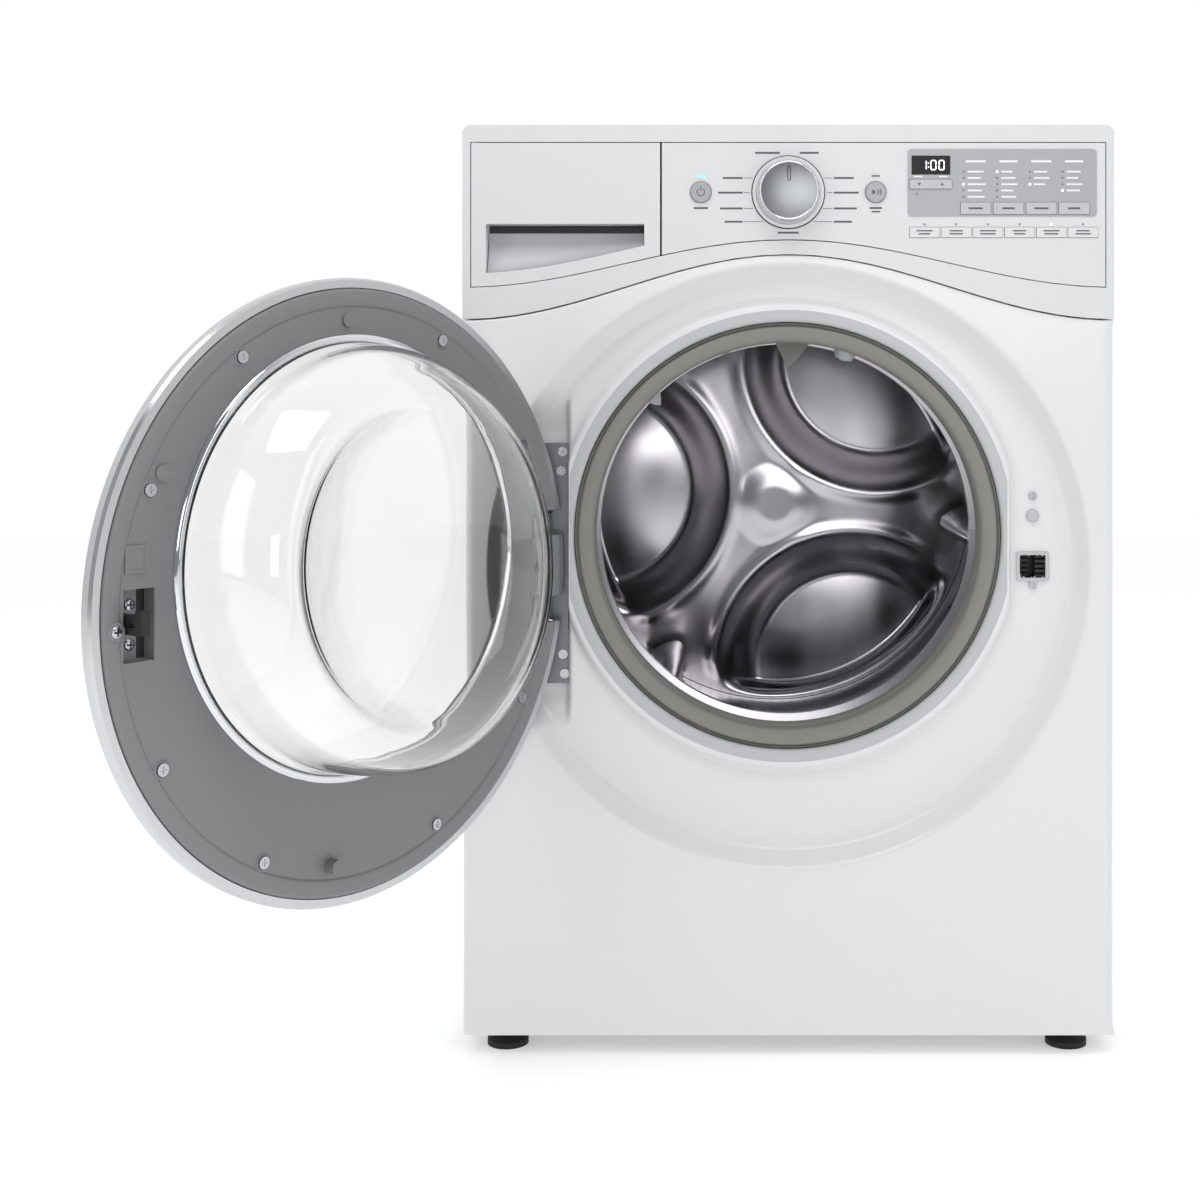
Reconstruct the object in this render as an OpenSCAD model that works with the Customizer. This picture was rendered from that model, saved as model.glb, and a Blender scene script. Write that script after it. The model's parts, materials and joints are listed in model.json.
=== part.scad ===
// Front load washing machine, drawn with the door standing open.
// Millimetres, +Z up, front towards -Y, origin on the floor under the middle of the cabinet.
// Depths from the front face are written t: positive stands out of the face, negative goes in.

/* [Cabinet] */
// Width over the side panels
cab_w = 686; // [686:1:830]
// Height from the floor to the top of the lid
cab_h = 981; // [978:1:1180]
// Depth from the front face to the rear wall
cab_d = 745; // [725:1:900]
// Sheet steel thickness
sheet = 1.2; // [0.8:0.1:1.6]
// Space between the floor and the front panel
toe_gap = 22; // [18:1:30]
// Radius of the bent vertical edges
bend_r = 9; // [5:1:14]
// Depth of the front panel's side flanges
flange_d = 25; // [18:1:26]
// Seam between neighbouring covers
seam = 1; // [0.6:0.1:2]
// Thickness of the lid
lid_h = 18; // [12:1:25]

/* [Loading port] */
// Height of the drum axis above the floor
port_z = 547; // [540:1:552]
// Inner radius of the panel's raised lip
lip_r = 231; // [229:1:233]
// Width of the raised lip
lip_w = 16; // [10:1:18]
// Height of the raised lip above the recess floor
lip_h = 9; // [6:0.5:9]
// Height of the door and recess centre above the floor
door_z = 516; // [512:1:520]
// Radius of the recess at the front face
recess_r = 319; // [315:1:322]
// Depth of the recess
recess_d = 24; // [24:1:28]
// Depth of the hinge pocket
pocket_d = 42; // [40:1:46]
// Height of the hinge pocket
pocket_h = 342; // [338:1:350]

/* [Door] */
// Outer radius of the door
door_r = 291; // [280:1:293]
// Opening angle at the stop
door_open = 125.4; // [90:0.1:125.4]
// Hinge axis from the cabinet's middle
hinge_x = 259.7; // [258:0.1:261]
// Hinge axis behind the front face
hinge_d = 6; // [5:0.5:7]
// Inner face of the closed door behind the front face
liner_d = 12; // [11:0.5:12.5]
// Wall of the plastic door mouldings
door_wall = 3; // [2:0.5:3.5]
// How far the outer window bulges past the trim
window_bulge = 30; // [15:1:35]
// Outer radius of the glass bowl at its rim
bowl_r = 196; // [185:1:197]
// Depth of the glass bowl behind the liner
bowl_d = 94; // [70:1:96]
// Glass thickness
glass_t = 5; // [4:0.5:6]
// Radius of the hinge pins
pin_r = 3; // [2.5:0.1:4]
// Height of each fixed hinge lug
lug_h = 19; // [14:1:22]
// Distance of each hinge lug from the door's middle height
lug_off = 45.7; // [40:0.1:60]

/* [Console] */
// Height of the console above the crest of the front panel
console_h = 136; // [130:1:140]
// Rise of the front panel's curved top edge
crest_rise = 68.5; // [50:0.5:75]
// Rise of the curve under the fascia
fascia_rise = 50; // [40:0.5:55]
// White band between the two curves at the middle
band_h = 14.5; // [10:0.5:20]
// Border of the console frame at the sides
border_x = 8.3; // [6:0.1:12]
// Depth of the console
console_d = 60; // [45:1:70]
// Width of the detergent drawer's front
drawer_w = 200.7; // [180:0.1:210]
// Length of the detergent drawer
drawer_l = 270; // [200:1:280]
// Height of the knob, the power and the start button
knob_z = 910; // [906:1:914]
// Radius of the knob's cap
knob_r = 29; // [22:0.5:30]
// Radius of the power and start buttons
button_r = 11; // [8:0.5:12]
// Distance of the two buttons from the knob
button_x = 92; // [70:1:94]
// Free space round a key
key_gap = 0.4; // [0.3:0.05:0.6]

/* [Drum and tub] */
// Angle at which the drum stands
drum_turn = -5; // [-60:1:60]
// Outer radius of the drum
drum_r = 262; // [240:1:262]
// Front of the drum behind the front face
drum_front = 108; // [104:1:115]
// Length of the drum
drum_l = 402; // [340:1:420]
// Radius of the drum's mouth
mouth_r = 205; // [200:1:210]
// Free space between drum and tub
drum_gap = 10; // [8:1:12]
// Wall of the tub
tub_wall = 3; // [2.5:0.5:4]
// Radius of the drum shaft
shaft_r = 15; // [12:0.5:17]
// Outer radius of the bearings
bearing_r = 31; // [28:0.5:36]
// Running clearance of shafts and pins
run_gap = 0.05; // [0.02:0.01:0.1]
// Radius of the drum pulley
pulley_r = 150; // [130:1:160]
// Radius of the motor pulley
small_r = 12; // [10:0.5:16]
// Radius of the motor
motor_r = 62; // [50:1:65]

/* [Hidden] */
$fn = 96;
front_y = -cab_d / 2;
half_w = cab_w / 2;
panel_top = cab_h - console_h;
window_top = cab_h - lid_h;
window_x = half_w - border_x;
split_x = -window_x + drawer_w;
lid_z = cab_h - lid_h;
fit = 0.3;
// door
pocket_x0 = -recess_r - 1;
pocket_x1 = -lip_r + 3;
lug_r = 8;
notch_h = lug_h + 8;
latch_x = 255;
latch_z = 514;
slot_w = 29;
slot_h = 26;
plug_z = 568;
lock_screw_z = [589, 494];
ring_r = bowl_r + 2.2;
trim_r = door_r - 9;
screw_ring = 257;
door_screw_angles = [24, 57, 114, 150, 180, 211, 248, 297, 330];
lip_t = lip_h - recess_d;
bumpers = [[28, lip_t], [86, lip_t], [279, -recess_d]];
bumper_ring = 252;
bracket_t = 3;
bracket_screws = [[-241, 119.7], [-242.7, 99.1], [-240.5, -97.7], [-238.8, -118.5]];
// console controls, placed from the right-hand end of the fascia
overlay_x1 = window_x - 10.3;
overlay_w = 198.8;
overlay_x0 = overlay_x1 - overlay_w;
overlay_z = [884.6, 955.4];
overlay_t = 0.8;
mod_w = 31.6;
mod_h = 12.4;
mod_pitch = 34.5;
mod_x = overlay_x0 + 71.4;
mod_z = 893;
opt_w = 31;
opt_h = 10.6;
opt_pitch = 33.36;
opt_x = overlay_x0 + 17.6;
opt_z = 867.8;
rocker_w = 44.4;
rocker_h = 9.6;
rocker_x = overlay_x0 + 24.2;
rocker_z = 918.4;
screen_w = 40.8;
screen_h = 20;
screen_z = 938.5;
fascia_t = 3;
key_out = 1.6;
// drawer
tray_x0 = -window_x + 16;
tray_x1 = split_x - 16;
tray_z0 = 868;
tray_z1 = 944;
front_t = 34;
scoop_z1 = 876.8;
scoop_side = 16.5;
housing_gap = 4;
// tub, drum and drive, as depths behind the front face
drum_back_d = drum_front + drum_l;
arms = [drum_turn, drum_turn + 120, drum_turn + 240];
lobes = [drum_turn + 60, drum_turn + 180, drum_turn + 300];
lobe_r = 78;
lobe_at = 128;
tub_in = drum_r + drum_gap;
tub_out = tub_in + tub_wall;
tub_front_d = drum_front - 8;
tub_back_d = drum_back_d + 37;
tub_split_d = tub_front_d + 200;
neck_r = lip_r - 13;
rim_r = tub_out + 13;
hub_d = tub_back_d + 63;
bearing_w = 16;
bearing_d = [tub_back_d + 13, tub_back_d + 43];
pulley_d = [tub_back_d + 75, tub_back_d + 93];
stub_r = shaft_r - 3;
motor_x = 40;
motor_z = port_z - tub_out - motor_r - 30;
motor_d = [tub_back_d - 97, tub_back_d + 63];
motor_shaft_r = 6;
damper_x = 150;
damper_d = tub_split_d + 100;
damper_r = 14;
damper_bore = 10.5;
spring_x = 250;
spring_d = tub_split_d + 80;
spring_top = cab_h - 81;
spring_foot = port_z + 153;
sump_d = 222;
sump_r = 22;
pump_top = 138;
foot_x = half_w - 43;
foot_y = cab_d / 2 - 43;
foot_r = 22;
stud_r = 5;
pan_z = 32;
valve_z = cab_h - 120;
valve_x = [120, 190];
thread_r = 13.2;
inlet_x = 260;

// ---- helpers ----

// a drawing in X and Z, extruded from depth t0 out to t1
module slab(t0, t1) translate([0, front_y - t0, 0]) rotate([90, 0, 0]) linear_extrude(t1 - t0) children();

// a profile of radius and t, turned about a line along Y
module turned(x, z) translate([x, front_y, z]) rotate([90, 0, 0]) rotate_extrude() children();

// a round bar along Y
module bar(x, z, r, t0, t1) translate([x, front_y - t0, z]) rotate([90, 0, 0]) cylinder(r = r, h = t1 - t0);

// a box given by its X range, t range and Z range
module block(x0, x1, t0, t1, z0, z1)
    translate([x0, front_y - t1, z0]) cube([x1 - x0, t1 - t0, z1 - z0]);

// a rectangle with round corners, centred
module rounded(w, h, r) {
    square([w - 2 * r, h], center = true);
    square([w, h - 2 * r], center = true);
    for (x = [-1, 1], y = [-1, 1]) translate([x * (w / 2 - r), y * (h / 2 - r)]) circle(r = r, $fn = 32);
}

// one straight stretch of a strip of width w
module stretch(a, b, w) {
    d = b - a;
    n = [-d[1], d[0]] / norm(d) * w / 2;
    polygon([a + n, a - n, b - n, b + n]);
}

// a strip of even width along a list of points, with round joints
module ribbon(p, w) {
    for (i = [0 : len(p) - 2]) stretch(p[i], p[i + 1], w);
    for (i = [1 : len(p) - 2]) translate(p[i]) circle(d = w, $fn = 24);
}

// the crest line of the front panel and the line under the fascia
function crest(x) = panel_top - crest_rise / 2 * (1 - cos(180 * x / half_w));
function brow(x) = panel_top + band_h - fascia_rise / 2 * (1 - cos(180 * x / half_w));

// the region above the crest line, or above the line under the fascia, between x0 and x1
module above_crest(x0, x1, top, lift)
    polygon(concat([for (i = [0 : 24]) let (x = x0 + (x1 - x0) * i / 24) [x, crest(x) + lift]],
        [[x1, top], [x0, top]]));
module above_brow(x0, x1, top, lift)
    polygon(concat([for (i = [0 : 24]) let (x = x0 + (x1 - x0) * i / 24) [x, brow(x) + lift]],
        [[x1, top], [x0, top]]));

// the door pieces are drawn closed and turned open about the hinge axis
module opened() translate([-hinge_x, front_y + hinge_d, 0]) rotate([0, 0, -door_open])
    translate([hinge_x, -front_y - hinge_d, 0]) children();

// the two slots that let the fixed lugs into the door, shallower near its front face
module lug_notches() for (s = [-1, 1]) {
    z0 = door_z + s * lug_off - notch_h / 2;
    block(-door_r - 20, -hinge_x + lug_r + 3, -40, 3, z0, z0 + notch_h);
    block(-door_r - 20, -hinge_x - lug_r - 0.3, 2, 40, z0, z0 + notch_h);
}

// ---- cabinet ----

module cabinet_shell() color("white") {
    side_d = flange_d + seam;
    difference() {
        union() {
            translate([0, 0, toe_gap]) linear_extrude(lid_z - seam - toe_gap) difference() {
                translate([0, side_d / 2]) rounded(cab_w, cab_d - side_d, bend_r);
                translate([0, side_d / 2])
                    rounded(cab_w - 2 * sheet, cab_d - side_d - 2 * sheet, bend_r - sheet);
                translate([-half_w + 20, front_y]) square([cab_w - 40, side_d + bend_r + 1]);
            }
            for (s = [-1, 1]) translate([s > 0 ? spring_x - 16 : -half_w + sheet / 2, front_y + spring_d - 10,
                spring_top]) cube([half_w - sheet / 2 - spring_x + 16, 20, 4]);
        }
        block(-half_w - 1, half_w + 1, -console_d - seam, 0, crest(half_w) - seam, cab_h);
        translate([0, cab_d / 2, port_z - 20]) rotate([90, 0, 0]) linear_extrude(20, center = true)
            rounded(440, 480, 30);
        for (x = valve_x) bar(x, valve_z, 17, -cab_d - 10, -cab_d + 20);
        bar(inlet_x, valve_z, 9 + fit, -cab_d - 10, -cab_d + 20);
    }
}

module rear_cover() color("silver")
    translate([0, cab_d / 2 + 1.2, port_z - 20]) rotate([90, 0, 0]) {
        linear_extrude(1) rounded(470, 510, 34);
        for (i = [-4 : 4]) translate([i * 40, 0, -1.5]) linear_extrude(1.6) rounded(14, 380, 6.9);
    }

module top_panel() color("white")
    translate([0, (console_d + seam) / 2, lid_z]) difference() {
        linear_extrude(lid_h) rounded(cab_w, cab_d - console_d - seam, bend_r);
        translate([0, 0, -1]) linear_extrude(lid_h - 1)
            rounded(cab_w - 4, cab_d - console_d - seam - 4, bend_r - 2);
    }

module base_frame() color("dimgray") difference() {
    union() {
        difference() {
            translate([0, 0, pan_z - 6]) linear_extrude(36)
                rounded(cab_w - 4 * sheet - 2, cab_d - 2 * flange_d - 12, bend_r);
            translate([0, 0, pan_z]) linear_extrude(40)
                rounded(cab_w - 4 * sheet - 6, cab_d - 2 * flange_d - 16, bend_r - 2);
            translate([0, 0, pan_z - 7]) linear_extrude(5)
                rounded(cab_w - 4 * sheet - 6, cab_d - 2 * flange_d - 16, bend_r - 2);
        }
        for (x = [-1, 1], y = [-1, 1]) translate([x * foot_x, y * foot_y, pan_z - 6])
            cylinder(r = 14, h = 20);
    }
    for (x = [-1, 1], y = [-1, 1]) translate([x * foot_x, y * foot_y, 0]) cylinder(r = stud_r, h = 100);
}

module levelling_feet() color("black")
    for (x = [-1, 1], y = [-1, 1]) translate([x * foot_x, y * foot_y, 0]) {
        difference() {
            union() {
                cylinder(r = foot_r, h = 6);
                translate([0, 0, 6]) cylinder(r1 = foot_r, r2 = 12, h = 6);
            }
            translate([0, 0, 9]) cylinder(r = stud_r, h = 10);
        }
        translate([0, 0, 9]) cylinder(r = stud_r, h = 50);
        difference() {
            translate([0, 0, pan_z - 13]) cylinder(r = 10, h = 6.5, $fn = 6);
            cylinder(r = stud_r + 0.02, h = 60);
        }
    }

// the pressed front: face with bent edges, round recess, hinge pocket and raised lip
module pocket_shape(grow) intersection() {
    translate([pocket_x0 - grow, door_z - pocket_h / 2 + 7 - grow])
        square([pocket_x1 - pocket_x0 + 2 * grow, pocket_h + 2 * grow]);
    translate([0, door_z]) circle(r = recess_r + 7 + grow);
}

module front_panel() color("white") difference() {
    union() {
        intersection() {
            translate([0, 0, toe_gap]) linear_extrude(cab_h) difference() {
                translate([0, front_y + cab_d / 2]) rounded(cab_w, cab_d, bend_r);
                translate([0, front_y + cab_d / 2])
                    rounded(cab_w - 2 * sheet, cab_d - 2 * sheet, bend_r - sheet);
            }
            slab(-flange_d, 1) difference() {
                translate([-half_w, toe_gap]) square([cab_w, panel_top - toe_gap]);
                above_crest(-half_w, half_w, cab_h, -seam);
                translate([0, door_z]) circle(r = recess_r);
            }
        }
        slab(-flange_d, -sheet / 2) difference() {
            translate([-half_w + bend_r, toe_gap]) square([cab_w - 2 * bend_r, panel_top]);
            translate([-half_w, toe_gap + sheet]) square([cab_w, panel_top]);
        }
        slab(-flange_d, -sheet / 2) difference() {
            above_crest(-half_w + bend_r, half_w - bend_r, panel_top, -seam - sheet);
            above_crest(-half_w, half_w, panel_top, -seam);
        }
        turned(0, door_z) difference() {
            translate([lip_r - 60, -recess_d - sheet])
                square([recess_r + sheet - lip_r + 60, recess_d + sheet]);
            translate([0, -recess_d]) square([recess_r, recess_d + 1]);
        }
        slab(-pocket_d - sheet, -recess_d) pocket_shape(sheet);
        slab(-recess_d - sheet, -sheet / 2) difference() {
            pocket_shape(sheet);
            translate([0, door_z]) circle(r = recess_r);
        }
        turned(0, port_z) {
            translate([lip_r, -recess_d - 8]) square([sheet, 8]);
            translate([lip_r, -recess_d - sheet]) square([lip_w, lip_h + sheet]);
        }
    }
    slab(-pocket_d, 1) pocket_shape(0);
    bar(0, port_z, lip_r, -recess_d - 20, 10);
    turned(0, port_z) translate([lip_r + sheet, -recess_d - sheet - 1])
        square([lip_w - 2 * sheet, lip_h + 1]);
    block(latch_x + 6 - slot_w / 2, latch_x + 6 + slot_w / 2, -recess_d - 5, 0,
        latch_z - slot_h / 2, latch_z + slot_h / 2);
    bar(latch_x + 6, plug_z, 6.5, -recess_d - 5, 0);
    for (z = lock_screw_z) bar(latch_x + 6, z, 2.5, -recess_d - 5, 0);
    for (p = bracket_screws) bar(p[0], door_z + p[1], 2.5, -pocket_d - 5, 0);
}

// ---- hinge and lock on the cabinet ----

module hinge_bracket() color("dimgray") {
    difference() {
        union() {
            slab(-pocket_d, -pocket_d + bracket_t) difference() {
                translate([-302, door_z - 129]) square([302 - 235, 258]);
                for (s = [-1, 1]) translate([-302, door_z + s * 129 - 42]) square([34, 84]);
            }
            for (s = [-1, 1]) slab(-pocket_d, -pocket_d + bracket_t)
                translate([-250, door_z + s * 108 - 21]) square([250 - 229, 42]);
            for (s = [-1, 1]) translate([0, 0, door_z + s * lug_off - lug_h / 2]) linear_extrude(lug_h) {
                translate([-hinge_x, front_y + hinge_d]) circle(r = lug_r);
                translate([-hinge_x - lug_r, front_y + hinge_d])
                    square([2 * lug_r, pocket_d - hinge_d - bracket_t / 2]);
            }
        }
        translate([-hinge_x, front_y + hinge_d, 0]) cylinder(r = pin_r, h = cab_h);
        for (p = bracket_screws) bar(p[0], door_z + p[1], 2.5, -pocket_d - 5, 0);
    }
}

// a pan head screw along Y with a cross recess, its head seated at depth t
module pan_screw(x, z, t, head_r, shank_l) difference() {
    union() {
        bar(x, z, head_r, t, t + 2);
        bar(x, z, 2.3, t - shank_l, t);
    }
    block(x - head_r * 0.6, x + head_r * 0.6, t + 1, t + 3, z - 0.6, z + 0.6);
    block(x - 0.6, x + 0.6, t + 1, t + 3, z - head_r * 0.6, z + head_r * 0.6);
}

module panel_screws() color("gray") {
    for (p = bracket_screws) pan_screw(p[0], door_z + p[1], -pocket_d + bracket_t, 5, 12);
    for (z = lock_screw_z) pan_screw(latch_x + 6, z, -recess_d, 4.5, 10);
}

module hinge_pins() color("silver") for (s = [-1, 1])
    translate([-hinge_x, front_y + hinge_d, door_z + s * lug_off - lug_h / 2 - 5])
        cylinder(r = pin_r, h = lug_h + 10, $fn = 32);

module door_lock() color("black") {
    back = -recess_d - sheet;
    difference() {
        block(latch_x - 17, latch_x + 29, back - 38, back, lock_screw_z[1] - 12, lock_screw_z[0] + 12);
        block(latch_x + 6 - slot_w / 2 + 1, latch_x + 6 + slot_w / 2 - 1, back - 34, back + 1,
            latch_z - slot_h / 2 + 1, latch_z + slot_h / 2 - 1);
        for (z = lock_screw_z) bar(latch_x + 6, z, 2.5, back - 15, back + 1);
    }
    bar(latch_x + 6, plug_z, 6.2, back - 1, -recess_d + 3);
}

// ---- door, drawn closed ----

module door_liner() color("gray") opened() {
    difference() {
        union() {
            slab(-liner_d, -liner_d + door_wall) translate([0, door_z]) circle(r = trim_r - 1);
            turned(0, door_z) translate([trim_r - 1 - door_wall, -liner_d]) square([door_wall, 14]);
            turned(0, port_z) translate([bowl_r + 6, -liner_d]) square([5, 5]);
            block(latch_x - 27, latch_x + 7, -liner_d, 3, latch_z - 36, latch_z + 28);
            block(latch_x - 17, latch_x + 4, -liner_d - 1.5, -liner_d + 1, 553, 576);
        }
        bar(0, port_z, bowl_r + 6, -liner_d - 5, 20);
        block(latch_x - 25, latch_x + 5, -liner_d - 1, 1, latch_z - 34, latch_z + 26);
        block(latch_x - 14, latch_x + 1, -liner_d - 4, -liner_d - 1, 556, 573);
        lug_notches();
        for (a = door_screw_angles)
            bar(screw_ring * cos(a), door_z + screw_ring * sin(a), 2.4, -liner_d - 1, -liner_d + 4);
    }
}

module door_screws() color("silver") opened()
    for (a = door_screw_angles) mirror([0, 1, 0]) translate([0, -2 * (front_y + liner_d), 0])
        pan_screw(screw_ring * cos(a), door_z + screw_ring * sin(a), -liner_d, 5.5, 3);

module door_bumpers() color("lightgray") opened()
    for (b = bumpers) bar(bumper_ring * cos(b[0]), door_z + bumper_ring * sin(b[0]), 7,
        b[1] + 0.6, -liner_d);

module hinge_arms() color("dimgray") opened() difference() {
    union() {
        for (s = [-1, 1], e = [-1, 1])
            translate([0, 0, door_z + s * lug_off + e * (lug_h / 2 + 2) - 1.5]) linear_extrude(3) {
                translate([-hinge_x, front_y + hinge_d]) circle(r = 5.5, $fn = 48);
                translate([-hinge_x, front_y + hinge_d - 5.5]) square([42, 8]);
            }
        block(-232, -218, -hinge_d - 2.5, -hinge_d + 5.5, door_z - lug_off - 20, door_z + lug_off + 20);
    }
    translate([-hinge_x, front_y + hinge_d, 0]) cylinder(r = pin_r + run_gap, h = cab_h);
}

module door_trim_ring() color("silver") opened() difference() {
    turned(0, door_z) polygon([[trim_r, -liner_d + 1], [door_r - 2, -liner_d + 1], [door_r, -liner_d + 4],
        [door_r, 0], [door_r - 7, 9], [door_r - 18, 14], [door_r - 36, 15], [door_r - 36, 12],
        [door_r - 19, 11], [door_r - 9.5, 6.5], [door_r - 3, -1], [door_r - 3, -liner_d + 4],
        [trim_r, -liner_d + 4]]);
    lug_notches();
}

module door_window() color("lightblue", 0.4) opened() {
    r = door_r - 40;
    rise = window_bulge + 4;
    seat = 7.5;
    turned(0, door_z) polygon(concat([[door_r - 28, seat], [door_r - 28, seat + door_wall]],
        [for (i = [0 : 10]) [(r + door_wall / 2) * cos(i * 9), seat + door_wall + rise * sin(i * 9)]],
        [for (i = [10 : -1 : 0]) [(r - door_wall / 2) * cos(i * 9), seat + rise * sin(i * 9)]]));
}

module glass_bowl() color("lightcyan", 0.4) opened() turned(0, port_z) intersection() {
    ribbon([[bowl_r + 15, -liner_d + 5.8 + glass_t / 2], [bowl_r + 2, -liner_d + 5 + glass_t / 2],
        [bowl_r - 2.6, -liner_d - 2], [bowl_r - 8, -liner_d - 28],
        [bowl_r - 14, -liner_d - bowl_d + 28], [bowl_r - 22, -liner_d - bowl_d + 13],
        [bowl_r - 36, -liner_d - bowl_d + 4.5], [bowl_r - 70, -liner_d - bowl_d + 1],
        [-9, -liner_d - bowl_d]],
        glass_t);
    translate([0, -200]) square([400, 400]);
}

module glass_ring() color("silver") opened() turned(0, port_z)
    translate([ring_r + 6, -liner_d - 1.6]) difference() {
        rounded(12, 3.2, 1.4);
        translate([-20, 1.6]) square([40, 10]);
    }

module latch_hook() color("dimgray") opened() difference() {
    union() {
        block(latch_x - 4, latch_x + 4, -liner_d - 22, 0.7, latch_z - 10, latch_z + 6);
        block(latch_x - 4, latch_x + 4, -liner_d - 22, -liner_d - 14, latch_z - 10, latch_z + 10.5);
    }
    block(latch_x - 5, latch_x + 5, -liner_d - 13, -liner_d - 5, latch_z - 4, latch_z + 2);
}

// ---- gasket, a bellows between the lip and the tub ----

module door_gasket() color("gray") {
    g = lip_t - 6;
    turned(0, port_z) ribbon([[lip_r - 2.5, g - 8], [lip_r - 2.5, g + 4.5], [lip_r - 12, g + 5],
        [lip_r - 13, g + 1], [lip_r - 26, g + 2], [lip_r - 28, g - 5],
        [lip_r - 27, g - 16], [lip_r - 8, g - 22], [lip_r - 6, g - 32],
        [lip_r - 24, g - 38], [lip_r - 25, g - 48], [neck_r + 4.8, -tub_front_d + 22],
        [neck_r + 4.8, -tub_front_d + 4]], 3);
}

// ---- console ----

module console_frame() color("white") difference() {
    slab(-console_d, 0) intersection() {
        above_crest(-half_w, half_w, cab_h, 0);
        translate([0, cab_h - 200]) rounded(cab_w, 400, bend_r);
    }
    slab(-console_d - 1, -3) intersection() {
        above_crest(-half_w + 3, half_w - 3, cab_h - 3, 3);
        translate([0, cab_h - 203]) rounded(cab_w - 6, 400, bend_r - 3);
    }
    slab(-10, 1) above_brow(-window_x, window_x, window_top, 0);
}

// the cuts that the keys, buttons and the knob pass through
module control_cuts(gap) {
    translate([rocker_x, rocker_z]) square([rocker_w + 2 * gap, rocker_h + 2 * gap], center = true);
    for (i = [0 : 3]) translate([mod_x + i * mod_pitch, mod_z])
        square([mod_w + 2 * gap, mod_h + 2 * gap], center = true);
    for (i = [0 : 5]) translate([opt_x + i * opt_pitch, opt_z])
        square([opt_w + 2 * gap, opt_h + 2 * gap], center = true);
}

module control_fascia() color("white") {
    slab(-fascia_t, 0) difference() {
        above_brow(split_x + seam, window_x - seam, window_top - seam, seam);
        control_cuts(key_gap);
        for (s = [-1, 1]) translate([s * button_x, knob_z]) circle(r = button_r + key_gap);
        translate([0, knob_z]) circle(r = 6 + run_gap, $fn = 48);
    }
    turned(0, knob_z) translate([knob_r + 5, 0]) square([3.7, 2.5]);
    for (s = [-1, 1]) turned(s * button_x, knob_z) translate([button_r + 1, 0]) square([1.5, 0.8]);
    for (x = [split_x + 12, -50, 108, window_x - 14], z = [knob_z - 22, knob_z + 38])
        bar(x, z, 3, -14, -fascia_t);
}

module display_overlay() color("gray") slab(0, overlay_t) difference() {
    translate([(overlay_x0 + overlay_x1) / 2, (overlay_z[0] + overlay_z[1]) / 2])
        rounded(overlay_w, overlay_z[1] - overlay_z[0], 4);
    control_cuts(key_gap);
}

module control_board() color("green") {
    slab(-16, -14) difference() {
        translate([split_x + 8, knob_z - 28]) square([window_x - split_x - 16, 72]);
        translate([0, knob_z]) circle(r = 7);
    }
    block(20, 90, -40, -16, knob_z - 20, knob_z + 30);
    block(overlay_x0 + 4, overlay_x0 + 4 + screen_w, -14, -6,
        screen_z - screen_h / 2, screen_z + screen_h / 2);
    for (i = [0 : 3])
        block(mod_x + i * mod_pitch - 4, mod_x + i * mod_pitch + 4, -14, -8, mod_z - 4, mod_z + 4);
    for (s = [-1, 1]) block(s * button_x - 4, s * button_x + 4, -14, -9, knob_z - 4, knob_z + 4);
}

module program_knob() color("silver") {
    difference() {
        union() {
            turned(0, knob_z) polygon([[0, 1], [knob_r + 4, 1], [knob_r + 4, 3.5], [knob_r + 1.5, 7],
                [knob_r, 7], [knob_r - 1.5, 21], [knob_r - 4, 23], [0, 23]]);
        }
        block(-2.2, 2.2, 20.5, 24, knob_z + 9, knob_z + knob_r - 4);
    }
    bar(0, knob_z, 6, -13, 1.5);
}

module round_button(x) {
    turned(x, knob_z) polygon([[0, -fascia_t - 2.4], [button_r + 2, -fascia_t - 2.4],
        [button_r + 2, -fascia_t - 0.4], [button_r, -fascia_t - 0.4], [button_r, key_out],
        [button_r - 1.5, key_out + 1.2], [0, key_out + 1.2]]);
}

module power_button() color("silver") round_button(-button_x);
module start_button() color("silver") round_button(button_x);

// a rectangular key with a flange that keeps it behind the fascia
module flat_key(x, z, w, h, out) {
    slab(-fascia_t - 1, out) translate([x, z]) square([w, h], center = true);
    slab(-fascia_t - 2.4, -fascia_t - 0.4) translate([x, z]) square([w - 4, h + 3.2], center = true);
}

module modifier_key(i) color("lightgray") flat_key(mod_x + (i - 1) * mod_pitch, mod_z, mod_w, mod_h, key_out);
module option_key(i) color("white") flat_key(opt_x + (i - 1) * opt_pitch, opt_z, opt_w, opt_h, 1);

module time_rocker() color("lightgray") difference() {
    slab(-fascia_t - 3, key_out + 0.4) translate([rocker_x, rocker_z])
        square([rocker_w, rocker_h], center = true);
    for (s = [-1, 1]) slab(-fascia_t - 4, -fascia_t + 0.8)
        translate([rocker_x + s * (rocker_w / 2 - 3), rocker_z]) square([6.1, 20], center = true);
}

// ---- detergent drawer ----

module drawer_front() color("white") {
    x0 = -window_x + seam;
    x1 = split_x - seam;
    difference() {
        slab(-front_t, 0) above_brow(x0, x1, window_top - seam, seam);
        slab(-front_t - 1, -2.5) intersection() {
            above_brow(x0 + 2.5, x1 - 2.5, window_top - seam - 2.5, seam + 2.5);
            translate([x0 + 2.5, 0]) square([x1 - x0 - 5, window_top - seam - 2.5]);
        }
        slab(-5, 1) scoop_shape(0);
    }
    difference() {
        slab(-28, -1) scoop_shape(2.4);
        slab(-25.5, 1) scoop_shape(0);
    }
}

// the finger scoop, and the same outline grown by a wall
module scoop_shape(grow) {
    xa = -window_x + scoop_side - grow;
    xb = split_x - scoop_side - 1 + grow;
    intersection() {
        above_brow(xa, xb, scoop_z1 + grow, 15 - grow);
        translate([xa, 0]) square([xb - xa, scoop_z1 + grow]);
    }
}

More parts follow.
